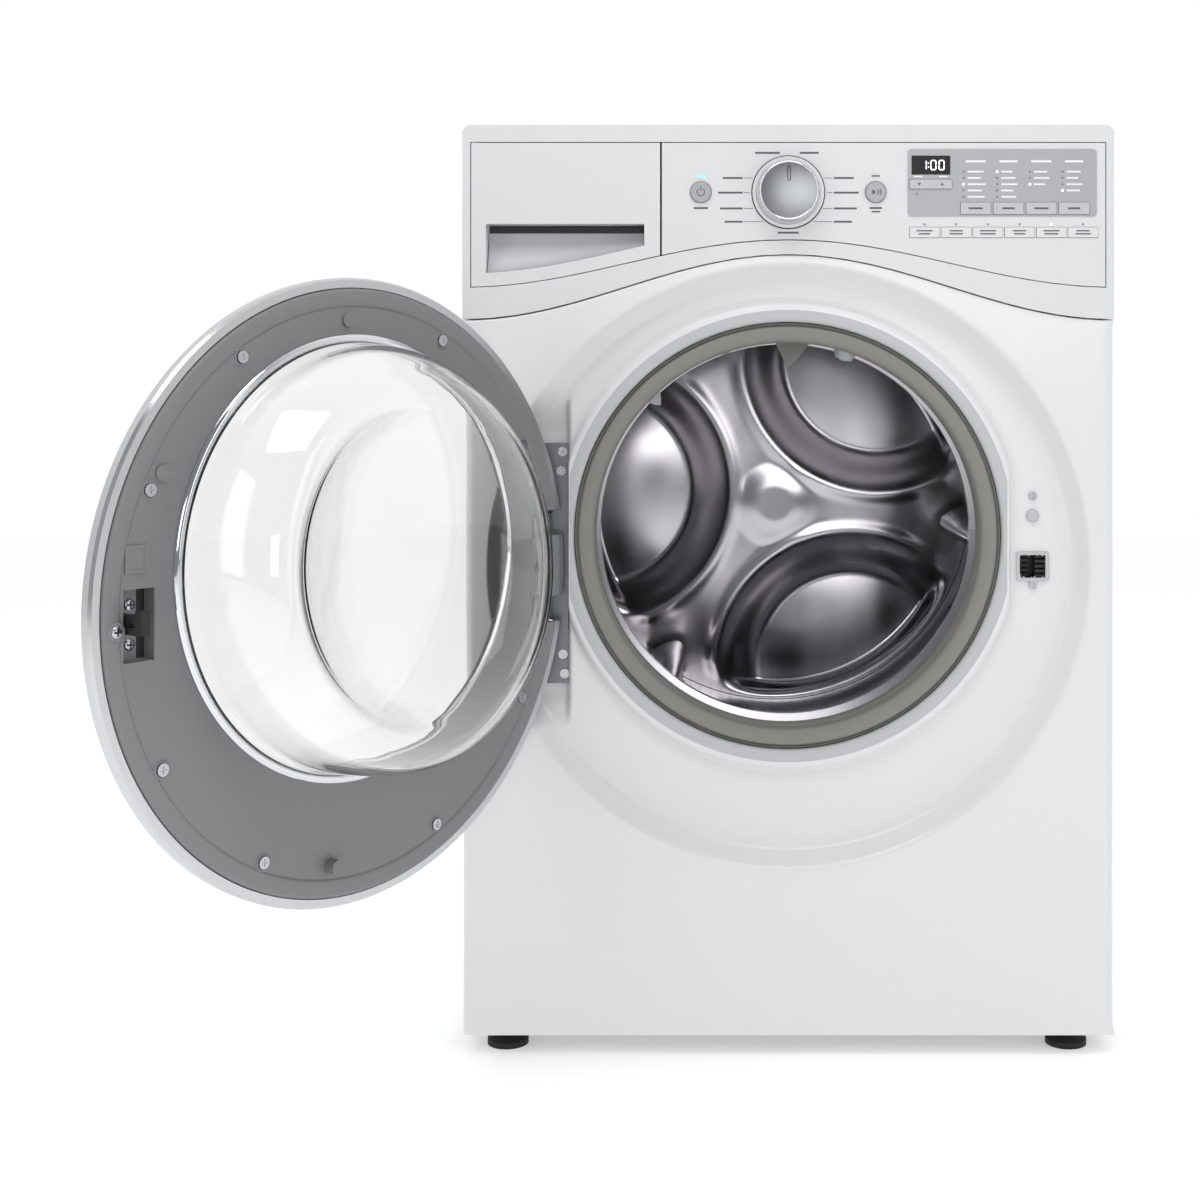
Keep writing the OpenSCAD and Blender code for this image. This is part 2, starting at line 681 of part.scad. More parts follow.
module drawer_tray() color("white") difference() {
    block(tray_x0, tray_x1, -front_t - drawer_l, -front_t, tray_z0, tray_z1);
    cells = [[0, 0.36], [0.38, 0.69], [0.71, 1]];
    for (c = cells) let (w = tray_x1 - tray_x0 - 4)
        block(tray_x0 + 2 + c[0] * w, tray_x0 + 2 + c[1] * w, -front_t - drawer_l + 3, -front_t - 3,
            tray_z0 + 3, tray_z1 + 1);
}

module dispenser_housing() color("gainsboro") difference() {
    block(tray_x0 - housing_gap - 2.5, tray_x1 + housing_gap + 2.5, -front_t - drawer_l - 16, -front_t - 5,
        tray_z0 - housing_gap - 2.5, tray_z1 + housing_gap + 2.5);
    block(tray_x0 - housing_gap, tray_x1 + housing_gap, -front_t - drawer_l - 13, 0,
        tray_z0 - housing_gap, tray_z1 + housing_gap);
    bar((tray_x0 + tray_x1) / 2, tray_z1 - 20, 8, -front_t - drawer_l - 20, -front_t - drawer_l);
}

module inlet_valves() color("gainsboro") for (x = valve_x) {
    difference() {
        union() {
            bar(x, valve_z, thread_r, -cab_d - 16, -cab_d - 1);
            bar(x, valve_z, 22, -cab_d - 2, -cab_d);
            bar(x, valve_z, 15, -cab_d - 1, -cab_d + 9);
            block(x - 14, x + 14, -cab_d + 8, -cab_d + 55, valve_z - 14, valve_z + 18);
        }
        bar(x, valve_z, 8, -cab_d - 17, -cab_d + 20);
    }
}

module power_inlet() color("black") difference() {
    union() {
        bar(inlet_x, valve_z, 14, -cab_d - 5, -cab_d);
        bar(inlet_x, valve_z, 9, -cab_d - 2, -cab_d + 18);
        bar(inlet_x, valve_z, 12.5, -cab_d + sheet, -cab_d + 7);
    }
    bar(inlet_x, valve_z, 4.5, -cab_d - 6, -cab_d + 19);
}

// ---- tub ----

module tub_front() color("gainsboro") {
    turned(0, port_z) {
        translate([tub_in, -tub_split_d]) square([tub_wall, tub_split_d - tub_front_d]);
        translate([tub_in, -tub_split_d]) square([rim_r - tub_in, 6]);
        translate([neck_r, -tub_front_d - tub_wall]) square([tub_out - neck_r, tub_wall]);
        translate([neck_r, -tub_front_d - tub_wall]) square([3, 20]);
    }
    difference() {
        translate([0, front_y + sump_d, port_z - tub_out - 34]) cylinder(r = sump_r, h = 50);
        translate([0, front_y + sump_d, port_z - tub_out - 35]) cylinder(r = sump_r - 3, h = 60);
        bar(0, port_z, tub_in + 1, -tub_split_d, 0);
    }
}

module tub_rear() color("gainsboro") difference() {
    union() {
        turned(0, port_z) {
            translate([tub_in, -tub_back_d]) square([tub_wall, tub_back_d - tub_split_d - 0.2]);
            translate([tub_in, -tub_split_d - 6.2]) square([rim_r - tub_in, 6]);
            translate([20, -tub_back_d - tub_wall]) square([tub_out - 20, tub_wall]);
            translate([20, -hub_d]) square([bearing_r + 12 - 20, hub_d - tub_back_d]);
        }
        for (a = [0 : 30 : 330]) translate([0, 0, port_z]) rotate([0, a, 0])
            translate([bearing_r + 8, front_y + tub_back_d, -2]) cube([tub_out - bearing_r - 12, 16, 4]);
        for (s = [-1, 1]) {
            translate([s > 0 ? spring_x - 10 : -spring_x - 10, front_y + spring_d - 8, port_z + 60])
                cube([20, 16, spring_foot - port_z - 60]);
            translate([s * damper_x - 10, front_y + damper_d - 10, port_z - tub_out + 38]) cube([20, 20, 20]);
        }
        translate([motor_x - 30, front_y + motor_d[0] + 20, port_z - tub_out - 20])
            cube([60, motor_d[1] - motor_d[0] - 88, 40]);
    }
    bar(0, port_z, tub_in, -tub_back_d, -tub_split_d);
    for (d = bearing_d) bar(0, port_z, bearing_r, -d - bearing_w - (d > bearing_d[0] ? 40 : 0),
        -d + (d > bearing_d[0] ? 0 : 40));
    for (s = [-1, 1]) translate([s * damper_x, front_y + damper_d, 0])
        cylinder(r = 5, h = port_z - tub_out + 50);
}

module bearings() color("silver") for (d = bearing_d) turned(0, port_z)
    translate([shaft_r + run_gap, -d - bearing_w]) square([bearing_r - shaft_r - run_gap, bearing_w]);

module counterweights() color("gray") for (a = [35, 215])
    translate([0, front_y, port_z]) rotate([90, 0, 0]) rotate_extrude(angle = 110, start = a)
        translate([neck_r + 12, -tub_front_d]) square([tub_out - neck_r - 14, 38]);

module motor() color("dimgray") difference() {
    union() {
        bar(motor_x, motor_z, motor_r, -motor_d[1], -motor_d[0]);
        translate([motor_x - 30, front_y + motor_d[0] + 20, motor_z + motor_r - 12])
            cube([60, motor_d[1] - motor_d[0] - 88, port_z - tub_out - 20 - motor_z - motor_r + 12]);
    }
    bar(motor_x, motor_z, motor_shaft_r + run_gap, -motor_d[1] - 1, -motor_d[1] + 40);
}

// points of a loop over both pulleys, grown by g: an arc on each, joined by their tangents
function belt_loop(g) = let (p = [0, port_z], q = [motor_x, motor_z], d = q - p, n = 40,
    lean = atan2(d[1], d[0]), wrap = acos((pulley_r - small_r) / norm(d)))
    concat([for (i = [0 : n]) let (a = lean + wrap + (360 - 2 * wrap) * i / n)
            p + (pulley_r + g) * [cos(a), sin(a)]],
        [for (i = [0 : n / 4]) let (a = lean - wrap + 2 * wrap * i / n * 4)
            q + (small_r + g) * [cos(a), sin(a)]]);

module drive_belt() color("black") slab(-pulley_d[1] + 2, -pulley_d[0] - 2) difference() {
    polygon(belt_loop(3.8));
    polygon(belt_loop(0.8));
}

module damper_cylinders() color("dimgray") for (s = [-1, 1])
    translate([s * damper_x, front_y + damper_d, pan_z]) {
        difference() {
            cylinder(r = damper_r, h = 150);
            translate([0, 0, 6]) cylinder(r = damper_bore, h = 150);
        }
    }

module damper_rods() color("silver") for (s = [-1, 1]) translate([s * damper_x, front_y + damper_d, 0]) {
    translate([0, 0, pan_z + 70]) cylinder(r = 5, h = port_z - tub_out + 46 - pan_z - 70, $fn = 48);
    translate([0, 0, pan_z + 70]) cylinder(r = damper_bore - 0.4, h = 16);
}

// a close-wound spring, as a ribbed sleeve with a straight hook on each end
module suspension_springs() color("silver") for (s = [-1, 1])
    translate([s * spring_x, front_y + spring_d, spring_foot]) {
        h = spring_top - spring_foot;
        coils = 22;
        pitch = 4;
        z0 = (h - coils * pitch) / 2;
        rotate_extrude() {
            for (i = [0 : coils]) translate([11, z0 + i * pitch]) circle(r = 2.3, $fn = 24);
            for (z = [z0, z0 + coils * pitch]) translate([0, z - 1.5]) square([11, 3]);
        }
        translate([0, 0, 0.2]) cylinder(r = 2.5, h = z0, $fn = 24);
        translate([0, 0, h - z0 - 0.2]) cylinder(r = 2.5, h = z0, $fn = 24);
    }

module drain_pump() color("gainsboro") translate([0, front_y + sump_d, 0]) {
    difference() {
        union() {
            translate([0, 0, pan_z + 6]) cylinder(r = 42, h = 52);
            translate([0, 0, pan_z + 58]) cylinder(r = sump_r, h = pump_top - pan_z - 58 + 14);
        }
        translate([0, 0, pan_z + 50]) cylinder(r = sump_r - 4, h = 120);
    }
    translate([38, 0, pan_z + 34]) rotate([0, 90, 0]) cylinder(r = 27, h = 90);
    for (x = [-30, 30]) translate([x - 6, -6, pan_z]) cube([12, 12, 8]);
}

module sump_hose() color("dimgray") {
    z0 = pump_top;
    z1 = port_z - tub_out - 20;
    translate([0, front_y + sump_d, 0]) rotate_extrude()
        ribbon(concat([[sump_r + 1.8, z0]],
            [for (i = [1 : 9]) [sump_r + 3 + 4 * (i % 2), z0 + (z1 - z0) * i / 10]],
            [[sump_r + 1.8, z1]]), 3);
}

// ---- drum ----

module drum_shell() color("silver") turned(0, port_z) {
    ribbon([[mouth_r + 1, -drum_front - 9], [mouth_r + 1, -drum_front - 2], [mouth_r + 9, -drum_front],
        [drum_r - 9, -drum_front - 6], [drum_r - 0.5, -drum_front - 14],
        [drum_r - 0.5, -drum_back_d + 2]], 1);
}

module drum_back() color("silver") {
    slab(-drum_back_d, -drum_back_d + 1.2) difference() {
        translate([0, port_z]) circle(r = drum_r - 2);
        for (a = lobes) translate([lobe_at * cos(a), port_z + lobe_at * sin(a)]) circle(r = lobe_r);
    }
    for (a = lobes) turned(lobe_at * cos(a), port_z + lobe_at * sin(a))
        translate([0, -drum_back_d]) polygon([[lobe_r, 1.2], [lobe_r - 8, 0.8], [lobe_r - 20, -6.4],
            [0, -8], [0, -9.2], [lobe_r - 20.5, -7.6], [lobe_r - 8.3, -0.4], [lobe_r, 0]]);
}

module drum_baffles() color("silver") for (a = arms)
    translate([0, front_y + drum_front + 22, port_z]) rotate([0, -a, 0]) rotate([-90, 0, 0])
        linear_extrude(drum_l - 40) intersection() {
            polygon([[drum_r + 5, -34], [drum_r - 26, -22], [drum_r - 42, -9], [drum_r - 44, 0],
                [drum_r - 42, 9], [drum_r - 26, 22], [drum_r + 5, 34]]);
            circle(r = drum_r - 1.2);
        }

module drum_spider() color("gray") {
    slab(-drum_back_d - 28, -drum_back_d - 3) difference() {
        translate([0, port_z]) {
            circle(r = 46);
            for (a = arms) rotate(a) polygon([[30, -34], [drum_r - 6, -13], [drum_r - 6, 13], [30, 34]]);
        }
        for (a = lobes) translate([lobe_at * cos(a), port_z + lobe_at * sin(a)]) circle(r = lobe_r + 4);
    }
    turned(0, port_z) translate([drum_r - 14, -drum_back_d - 28]) square([12, 25]);
    bar(0, port_z, shaft_r, -hub_d - 4, -drum_back_d - 20);
    bar(0, port_z, stub_r, -pulley_d[1] - 8, -hub_d - 3);
}

module drum_pulley() color("silver") slab(-pulley_d[1], -pulley_d[0]) translate([0, port_z]) difference() {
    union() {
        difference() {
            circle(r = pulley_r);
            circle(r = pulley_r - 10);
        }
        circle(r = 30);
        for (a = [0 : 60 : 300]) rotate(a) translate([20, -7]) square([pulley_r - 25, 14]);
    }
    circle(r = stub_r);
}

module motor_pulley() color("silver") {
    bar(motor_x, motor_z, motor_shaft_r, -pulley_d[1], -motor_d[1] + 36);
    bar(motor_x, motor_z, small_r, -pulley_d[1], -pulley_d[0]);
}

cabinet_shell();
rear_cover();
top_panel();
base_frame();
front_panel();
console_frame();
control_fascia();
display_overlay();
control_board();
dispenser_housing();
inlet_valves();
hinge_bracket();
panel_screws();
door_lock();
levelling_feet();
drain_pump();
power_inlet();
door_gasket();
suspension_springs();
damper_cylinders();
sump_hose();
hinge_pins();
door_liner();
hinge_arms();
door_trim_ring();
door_window();
glass_bowl();
glass_ring();
door_screws();
latch_hook();
door_bumpers();
tub_rear();
tub_front();
counterweights();
motor();
bearings();
drive_belt();
damper_rods();
drum_shell();
drum_back();
drum_baffles();
drum_spider();
drum_pulley();
motor_pulley();
drawer_front();
drawer_tray();
program_knob();
power_button();
start_button();
time_rocker();
modifier_key(1);  // modifier_key_1
modifier_key(2);  // modifier_key_2
modifier_key(3);  // modifier_key_3
modifier_key(4);  // modifier_key_4
option_key(1);  // option_key_1
option_key(2);  // option_key_2
option_key(3);  // option_key_3
option_key(4);  // option_key_4
option_key(5);  // option_key_5
option_key(6);  // option_key_6
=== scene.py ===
# %% [markdown]
# # A front load washing machine with its door standing open
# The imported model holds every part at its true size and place, so this lesson only gives it its looks.
# Pressed, blown and moulded shapes are made again as smooth surfaces worked out with numpy, and each finish
# is a procedural material named for what the real part is made of. Lengths are in metres inside Blender;
# small ones are written in millimetres and turned by one constant.

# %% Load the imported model
import json

import bmesh
import bpy
import numpy as np
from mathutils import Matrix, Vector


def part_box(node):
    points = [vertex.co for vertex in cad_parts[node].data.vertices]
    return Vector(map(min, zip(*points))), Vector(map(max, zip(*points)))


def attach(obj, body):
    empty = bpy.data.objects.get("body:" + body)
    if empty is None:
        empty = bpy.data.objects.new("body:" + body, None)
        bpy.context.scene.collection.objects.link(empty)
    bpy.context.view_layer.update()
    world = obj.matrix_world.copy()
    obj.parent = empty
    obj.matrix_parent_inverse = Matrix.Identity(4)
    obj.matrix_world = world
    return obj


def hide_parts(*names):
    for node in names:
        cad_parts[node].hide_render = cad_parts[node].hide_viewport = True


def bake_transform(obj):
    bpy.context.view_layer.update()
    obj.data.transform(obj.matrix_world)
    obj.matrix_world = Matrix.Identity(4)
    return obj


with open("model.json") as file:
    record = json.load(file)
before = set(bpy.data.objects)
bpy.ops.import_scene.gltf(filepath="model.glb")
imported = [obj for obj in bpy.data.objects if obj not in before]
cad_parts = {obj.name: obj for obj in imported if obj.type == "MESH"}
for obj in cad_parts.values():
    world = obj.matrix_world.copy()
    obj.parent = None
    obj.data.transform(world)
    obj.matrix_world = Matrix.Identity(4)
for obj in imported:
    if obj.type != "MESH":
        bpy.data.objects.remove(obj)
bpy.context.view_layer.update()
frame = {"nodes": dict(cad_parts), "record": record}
MM = 0.001

# %% [markdown]
# ## The places that everything hangs on
# A part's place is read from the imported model, never guessed: the front face, the hinge axis and the drum
# axis come from the joints and from the nodes' boxes. Depth is written as t in millimetres, positive out of
# the front face, so `at(-24)` is a plane 24 mm inside it.

# %% Driving places
joints = {j["name"]: j for j in frame["record"]["behaviour"]["joints"]}
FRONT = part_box("front_panel")[0][1]
HALF_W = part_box("front_panel")[1][0]
PANEL_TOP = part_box("front_panel")[1][2]
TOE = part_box("front_panel")[0][2]
HINGE = np.array(joints["door_swing"]["pos_m"])
OPEN_ANGLE = np.radians(joints["door_swing"]["range_deg"][1])
PORT_Z = joints["drum_spin"]["pos_m"][2]
DOOR_Z = HINGE[2]
KNOB = np.array(joints["knob_turn"]["pos_m"])


def at(t):
    """The Y of a plane t millimetres out of the front face: y = FRONT - t."""
    return FRONT - t * MM


print("front face at y =", round(FRONT, 4), "drum axis at z =", round(PORT_Z, 3))

# %% [markdown]
# ## Camera
# The camera looks straight on, from a little left of the middle and above the door, with the lens shifted
# instead of tilted, so that the cabinet's edges stay upright. The distance sets how strongly the open door
# grows towards the viewer.

# %% Make the camera
CAMERA_DISTANCE = 1.853
CAMERA_X = -0.0668
CAMERA_Z = 0.707
camera = bpy.data.objects.new("camera", bpy.data.cameras.new("camera"))
bpy.context.scene.collection.objects.link(camera)
camera.location = (CAMERA_X, FRONT - CAMERA_DISTANCE, CAMERA_Z)
camera.rotation_euler = (np.pi / 2, 0, 0)
camera.data.sensor_width = 36
camera.data.lens = 52.83
camera.data.shift_x = -0.104
camera.data.shift_y = -0.179
bpy.context.scene.camera = camera
print("camera stands", CAMERA_DISTANCE, "m in front of the machine")

# %% [markdown]
# ## Helpers for meshes
# A surface is a grid of points, rows by columns, that numpy works out all at once. Two switches close it
# round either way, which makes tubes and rings. `settle` merges the points that meet at a pole or a seam and
# turns every face outwards.


# %% Grids and pieces
def grid_faces(rows, cols, wrap_rows=False, wrap_cols=False):
    """Quads between neighbouring points of a rows by cols grid, wrapping round where asked."""
    i = np.arange(rows if wrap_rows else rows - 1)
    j = np.arange(cols if wrap_cols else cols - 1)
    a, b = np.meshgrid(i, j, indexing="ij")
    c, d = (a + 1) % rows, (b + 1) % cols
    return np.stack([a * cols + b, c * cols + b, c * cols + d, a * cols + d], -1).reshape(-1, 4).tolist()


def settle(mesh, weld):
    """Merges points closer than weld, drops faces that lost their area and points the rest outwards."""
    bm = bmesh.new()
    bm.from_mesh(mesh)
    bmesh.ops.remove_doubles(bm, verts=bm.verts, dist=weld)
    bmesh.ops.dissolve_degenerate(bm, edges=bm.edges, dist=weld)
    bmesh.ops.recalc_face_normals(bm, faces=bm.faces)
    bm.to_mesh(mesh)
    bm.free()


def new_piece(name, points, faces, material, body, replaces=(), slot=None, smooth=True):
    """Puts arrays of points and faces into an object, sets its finish and lets it ride on a body.

    A finish may be given by its name. The slot argument is not used."""
    if isinstance(material, str):
        slot, material = material, finishes[material]
    mesh = bpy.data.meshes.new(name)
    mesh.from_pydata(np.asarray(points).reshape(-1, 3).tolist(), [], faces)
    settle(mesh, 0.002 * MM)
    mesh.polygons.foreach_set("use_smooth", np.full(len(mesh.polygons), smooth))
    mesh.materials.append(material)
    obj = bpy.data.objects.new(name, mesh)
    bpy.context.scene.collection.objects.link(obj)
    if body:
        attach(obj, body)
    if replaces:
        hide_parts(*replaces)
    return obj


def smooth_line(points, per_span=6, closed=False):
    """A Catmull-Rom curve: each span is the cubic that leaves and enters its ends along their chords."""
    p = np.asarray(points, float)
    before, after = (p[-1:], p[:2]) if closed else (2 * p[:1] - p[1:2], 2 * p[-1:] - p[-2:-1])
    q = np.vstack([before, p, after])
    n = len(p) if closed else len(p) - 1
    u = np.linspace(0, 1, per_span, endpoint=False)[None, :, None]
    a, b, c, d = (q[k:k + n][:, None, :] for k in range(4))
    line = 0.5 * (2 * b + (c - a) * u + (2 * a - 5 * b + 4 * c - d) * u**2 + (3 * b - a - 3 * c + d) * u**3)
    line = line.reshape(-1, p.shape[1])
    return line if closed else np.vstack([line, p[-1:]])


def turned(profile, x, z, segments=160, start=0.0, sweep=360.0):
    """Turns a profile of (radius, t) in millimetres about a line along Y: x + r cos a, z + r sin a."""
    pr = np.asarray(profile, float)
    a = np.radians(start + np.linspace(0, sweep, segments, endpoint=sweep < 360))
    r = pr[:, 0][:, None] * MM
    y = np.broadcast_to(at(pr[:, 1])[:, None], (len(pr), segments))
    return np.stack([x + r * np.cos(a), y, z + r * np.sin(a)], -1)


def swung(points):
    """Turns points of the closed door about the hinge axis to where the door stands open."""
    p = np.asarray(points, float) - HINGE
    c, s = np.cos(OPEN_ANGLE), np.sin(OPEN_ANGLE)
    return np.stack([p[..., 0] * c + p[..., 1] * s, p[..., 1] * c - p[..., 0] * s, p[..., 2]], -1) + HINGE


def ring(name, profile, x, z, material, body, on_door=False, segments=160, **more):
    """A closed profile of (radius, t) turned all the way round a line along Y."""
    pts = turned(profile, x, z, segments)
    faces = grid_faces(len(pts), segments, True, True)
    return new_piece(name, swung(pts) if on_door else pts, faces, material, body, **more)


def ease(value, low, high):
    """0 below low, 1 above high and u^2 (3 - 2 u) between them."""
    u = np.clip((value - low) / (high - low), 0, 1)
    return u * u * (3 - 2 * u)


def tiles(name, outlines, t0, t1, material, body, on_door=False, **more):
    """Flat tiles: each outline of (x, z) in millimetres becomes a prism between depths t0 and t1."""
    points, faces, n0 = [], [], 0
    for line in outlines:
        line = np.asarray(line, float)
        n = len(line)
        i = np.arange(n)
        for t in (t0, t1):
            points.append(np.stack([line[:, 0] * MM, np.full(n, at(t)), line[:, 1] * MM], -1))
        faces += np.stack([n0 + i, n0 + (i + 1) % n, n0 + n + (i + 1) % n, n0 + n + i], -1).tolist()
        faces += [(n0 + i).tolist(), (n0 + n + i).tolist()]
        n0 += 2 * n
    pts = np.vstack(points)
    return new_piece(name, swung(pts) if on_door else pts, faces, material, body, smooth=False, **more)


def box_line(x, z, w, h, r=0.0, n=5):
    """The outline of a rectangle with corners of radius r, centred on x, z, in millimetres."""
    a = np.radians(np.linspace(0, 90, n if r else 1))
    corners = [(1, 1, 0), (-1, 1, 90), (-1, -1, 180), (1, -1, 270)]
    line = [np.stack([sx * (w / 2 - r) + r * np.cos(a + np.radians(k)),
                      sz * (h / 2 - r) + r * np.sin(a + np.radians(k))], -1) for sx, sz, k in corners]
    return np.vstack(line) + np.array([x, z])


def disc_line(x, z, r, n=24):
    """A circle of n corners about x, z, in millimetres."""
    a = np.linspace(0, 2 * np.pi, n, endpoint=False)
    return np.stack([x + r * np.cos(a), z + r * np.sin(a)], -1)


print("mesh helpers ready")

# %% [markdown]
# ## Helpers for materials
# Every finish starts from a Principled shader. `add` puts one node in a tree and links or sets its sockets,
# and `finish` makes the shader, so each finish below is a few lines that say what the real material does to
# light. Patterns use Object coordinates, where one unit is one metre, so a scale of 1 / size gives grain of
# that real size.


# %% Nodes and colours
def colour(hex_value):
    """An sRGB hex colour as linear RGBA: c / 12.92 below 0.04045, else ((c + 0.055) / 1.055) ^ 2.4."""
    c = np.array([int(hex_value[i:i + 2], 16) for i in (1, 3, 5)]) / 255
    linear = np.where(c <= 0.04045, c / 12.92, ((c + 0.055) / 1.055) ** 2.4)
    return (*linear.tolist(), 1.0)


def add(tree, kind, sockets=(), **settings):
    """Adds a node, sets its properties, and sets or links its sockets."""
    node = tree.nodes.new("ShaderNode" + kind)
    for key, value in settings.items():
        setattr(node, key, value)
    for key, value in dict(sockets).items():
        if isinstance(value, bpy.types.NodeSocket):
            tree.links.new(value, node.inputs[key])
        else:
            node.inputs[key].default_value = value
    return node


def finish(name, hex_value, roughness, metallic=0.0, **sockets):
    """A material with one Principled shader; more sockets are given with spaces written as _."""
    material = bpy.data.materials.new(name)
    material.use_nodes = True
    shader = material.node_tree.nodes["Principled BSDF"]
    values = {"Base Color": colour(hex_value), "Roughness": roughness, "Metallic": metallic}
    values.update({key.replace("_", " "): value for key, value in sockets.items()})
    for key, value in values.items():
        shader.inputs[key].default_value = value
    return material


def grain(material, size_mm, depth_mm, stretch=(1, 1, 1), detail=2.0):
    """Adds a noise bump of that grain size and height, and returns the noise node."""
    tree = material.node_tree
    place = add(tree, "TexCoord").outputs["Object"]
    scaled = add(tree, "Mapping", {"Vector": place, "Scale": stretch}).outputs[0]
    noise = add(tree, "TexNoise", {"Vector": scaled, "Scale": 1 / (size_mm * MM), "Detail": detail})
    bump = add(tree, "Bump", {"Height": noise.outputs["Fac"], "Distance": depth_mm * MM, "Strength": 1.0})
    tree.links.new(bump.outputs[0], tree.nodes["Principled BSDF"].inputs["Normal"])
    return noise


def vary(material, source, socket, low, high):
    """Lets a grey texture move one number of the shader between low and high."""
    tree = material.node_tree
    spread = add(tree, "MapRange", {"Value": source, "From Min": 0.3, "From Max": 0.7,
                                    "To Min": low, "To Max": high})
    tree.links.new(spread.outputs[0], tree.nodes["Principled BSDF"].inputs[socket])


print("material helpers ready")

# %% [markdown]
# ## Painted and moulded finishes
# The cabinet is sheet steel with a sprayed and baked white enamel: glossy, but with the faint orange peel
# that spraying leaves. The console is injection-moulded ABS, a little softer in its shine. The door's inner
# side is a satin grey moulding with a fine spark-eroded texture.


# %% Enamel and plastics
def white_enamel():
    """Baked polyester enamel on steel: a clear gloss over white, rippled by about a micron every 2 mm."""
    m = finish("white_enamel", "#E2E3E4", 0.28, Coat_Weight=0.25, Coat_Roughness=0.12, IOR=1.5)
    grain(m, 2.2, 0.0014, detail=1.0)
    return m


def white_plastic():
    """Injection-moulded white ABS: an even satin gloss with a faint moulded mist."""
    m = finish("white_plastic", "#D9DADB", 0.33, IOR=1.53, Subsurface_Weight=0.02, Subsurface_Scale=0.002)
    grain(m, 0.5, 0.0012)
    return m


def grey_plastic():
    """Grey ABS moulding with spark-eroded grain, which spreads its shine wide."""
    m = finish("grey_plastic", "#7F8082", 0.42, IOR=1.53)
    noise = grain(m, 0.35, 0.006)
    vary(m, noise.outputs["Fac"], "Roughness", 0.38, 0.47)
    return m


def light_grey_plastic():
    """Pale grey moulded ABS of the keys, rocker, lock bezel and plug. The port lip's rows are given it too,
    and on the scoop ramp its grey is painted shade.
    """
    m = finish("light_grey_plastic", "#BDBFC1", 0.38, IOR=1.53)
    grain(m, 0.4, 0.0015)
    return m


def black_plastic():
    """Black glass-filled nylon: matt, as fibres at its face break up the shine."""
    m = finish("black_plastic", "#1A1B1C", 0.5, IOR=1.53)
    grain(m, 0.3, 0.004)
    return m


def tub_plastic():
    """Talc-filled polypropylene of tub and pipes: milky and waxy."""
    m = finish("tub_plastic", "#C9CCCB", 0.48, IOR=1.49, Subsurface_Weight=0.05, Subsurface_Scale=0.004)
    grain(m, 1.2, 0.004)
    return m


def overlay_grey():
    """Screen-printed polyester film over the display and keys: flat silver grey, semi-gloss."""
    m = finish("overlay_grey", "#A4A6A8", 0.3, IOR=1.6)
    grain(m, 0.15, 0.0012)
    return m


# %% [markdown]
# ## Metals
# A metal has no colour of its own under the shine: its base colour is the tint of its reflections. Sheet is
# told apart by how it was finished: rolled and polished stainless in the drum, zinc plate on screws, dull
# phosphated steel in the hinge, and a vacuum-metallised film on the door's plastic trim.


# %% Metal finishes
def stainless():
    """Polished 430 stainless sheet: mirror-like with drawn, slightly uneven reflections."""
    m = finish("stainless", "#B8B5B9", 0.17, metallic=1.0)
    noise = grain(m, 55, 0.35, stretch=(1, 1, 0.5), detail=1.0)
    vary(m, noise.outputs["Fac"], "Roughness", 0.13, 0.24)
    return m


def perforated_stainless():
    """Stainless drum wall with rows of 3.2 mm drain holes, 14 mm apart round the drum and along it. The holes
    are not cut: they are painted near black, as painted shade of the dark tub seen through them.
    """
    m = finish("perforated_stainless", "#A9A6AB", 0.2, metallic=1.0)
    tree = m.node_tree
    place = add(tree, "SeparateXYZ", {0: add(tree, "TexCoord").outputs["Object"]}).outputs
    up = add(tree, "Math", {0: place[2], 1: PORT_Z}, operation="SUBTRACT").outputs[0]
    angle = add(tree, "Math", {0: up, 1: place[0]}, operation="ARCTAN2").outputs[0]
    around = add(tree, "Math", {0: angle, 1: 18.6}, operation="MULTIPLY").outputs[0]
    along = add(tree, "Math", {0: place[1], 1: 71.4}, operation="MULTIPLY").outputs[0]
    cell = add(tree, "CombineXYZ", {0: around, 1: along}).outputs[0]
    inside = add(tree, "VectorMath", {0: cell}, operation="FRACTION").outputs[0]
    offset = add(tree, "VectorMath", {0: inside, 1: (0.5, 0.5, 0)}, operation="SUBTRACT").outputs[0]
    reach = add(tree, "VectorMath", {0: offset}, operation="LENGTH").outputs["Value"]
    metal = add(tree, "MapRange", {"Value": reach, "From Min": 0.10, "From Max": 0.125}).outputs[0]
    # Painted shade: each hole is coloured near black for the darkness seen through it, and the bump dishes
    # its edge.
    face = add(tree, "Mix", {0: metal, 6: colour("#0B0B0C"), 7: colour("#A9A6AB")}, data_type="RGBA")
    tree.links.new(face.outputs[2], tree.nodes["Principled BSDF"].inputs["Base Color"])
    dish = add(tree, "Bump", {"Height": metal, "Distance": 0.0004, "Strength": 0.8})
    tree.links.new(dish.outputs[0], tree.nodes["Principled BSDF"].inputs["Normal"])
    return m


def silver_trim():
    """Metallised and lacquered plastic: a spun silver look, drawn round the door in fine lines."""
    m = finish("silver_trim", "#C9CACC", 0.24, metallic=0.9, Anisotropic=0.5)
    grain(m, 0.25, 0.0008)
    return m


def brushed_face():
    """Silver-lacquered knob face, spun so that fine rings run round its middle."""
    m = finish("brushed_face", "#8E9092", 0.26, metallic=0.95)
    tree = m.node_tree
    place = add(tree, "SeparateXYZ", {0: add(tree, "TexCoord").outputs["Object"]}).outputs
    side = add(tree, "Math", {0: place[0], 1: KNOB[0]}, operation="SUBTRACT").outputs[0]
    up = add(tree, "Math", {0: place[2], 1: KNOB[2]}, operation="SUBTRACT").outputs[0]
    across = add(tree, "CombineXYZ", {0: side, 1: up}).outputs[0]
    reach = add(tree, "VectorMath", {0: across}, operation="LENGTH").outputs["Value"]
    spun = add(tree, "TexNoise", {"W": reach, "Scale": 1 / (0.5 * MM)}, noise_dimensions="1D")
    bump = add(tree, "Bump", {"Height": spun.outputs["Fac"], "Distance": 0.01 * MM})
    tree.links.new(bump.outputs[0], tree.nodes["Principled BSDF"].inputs["Normal"])
    return m


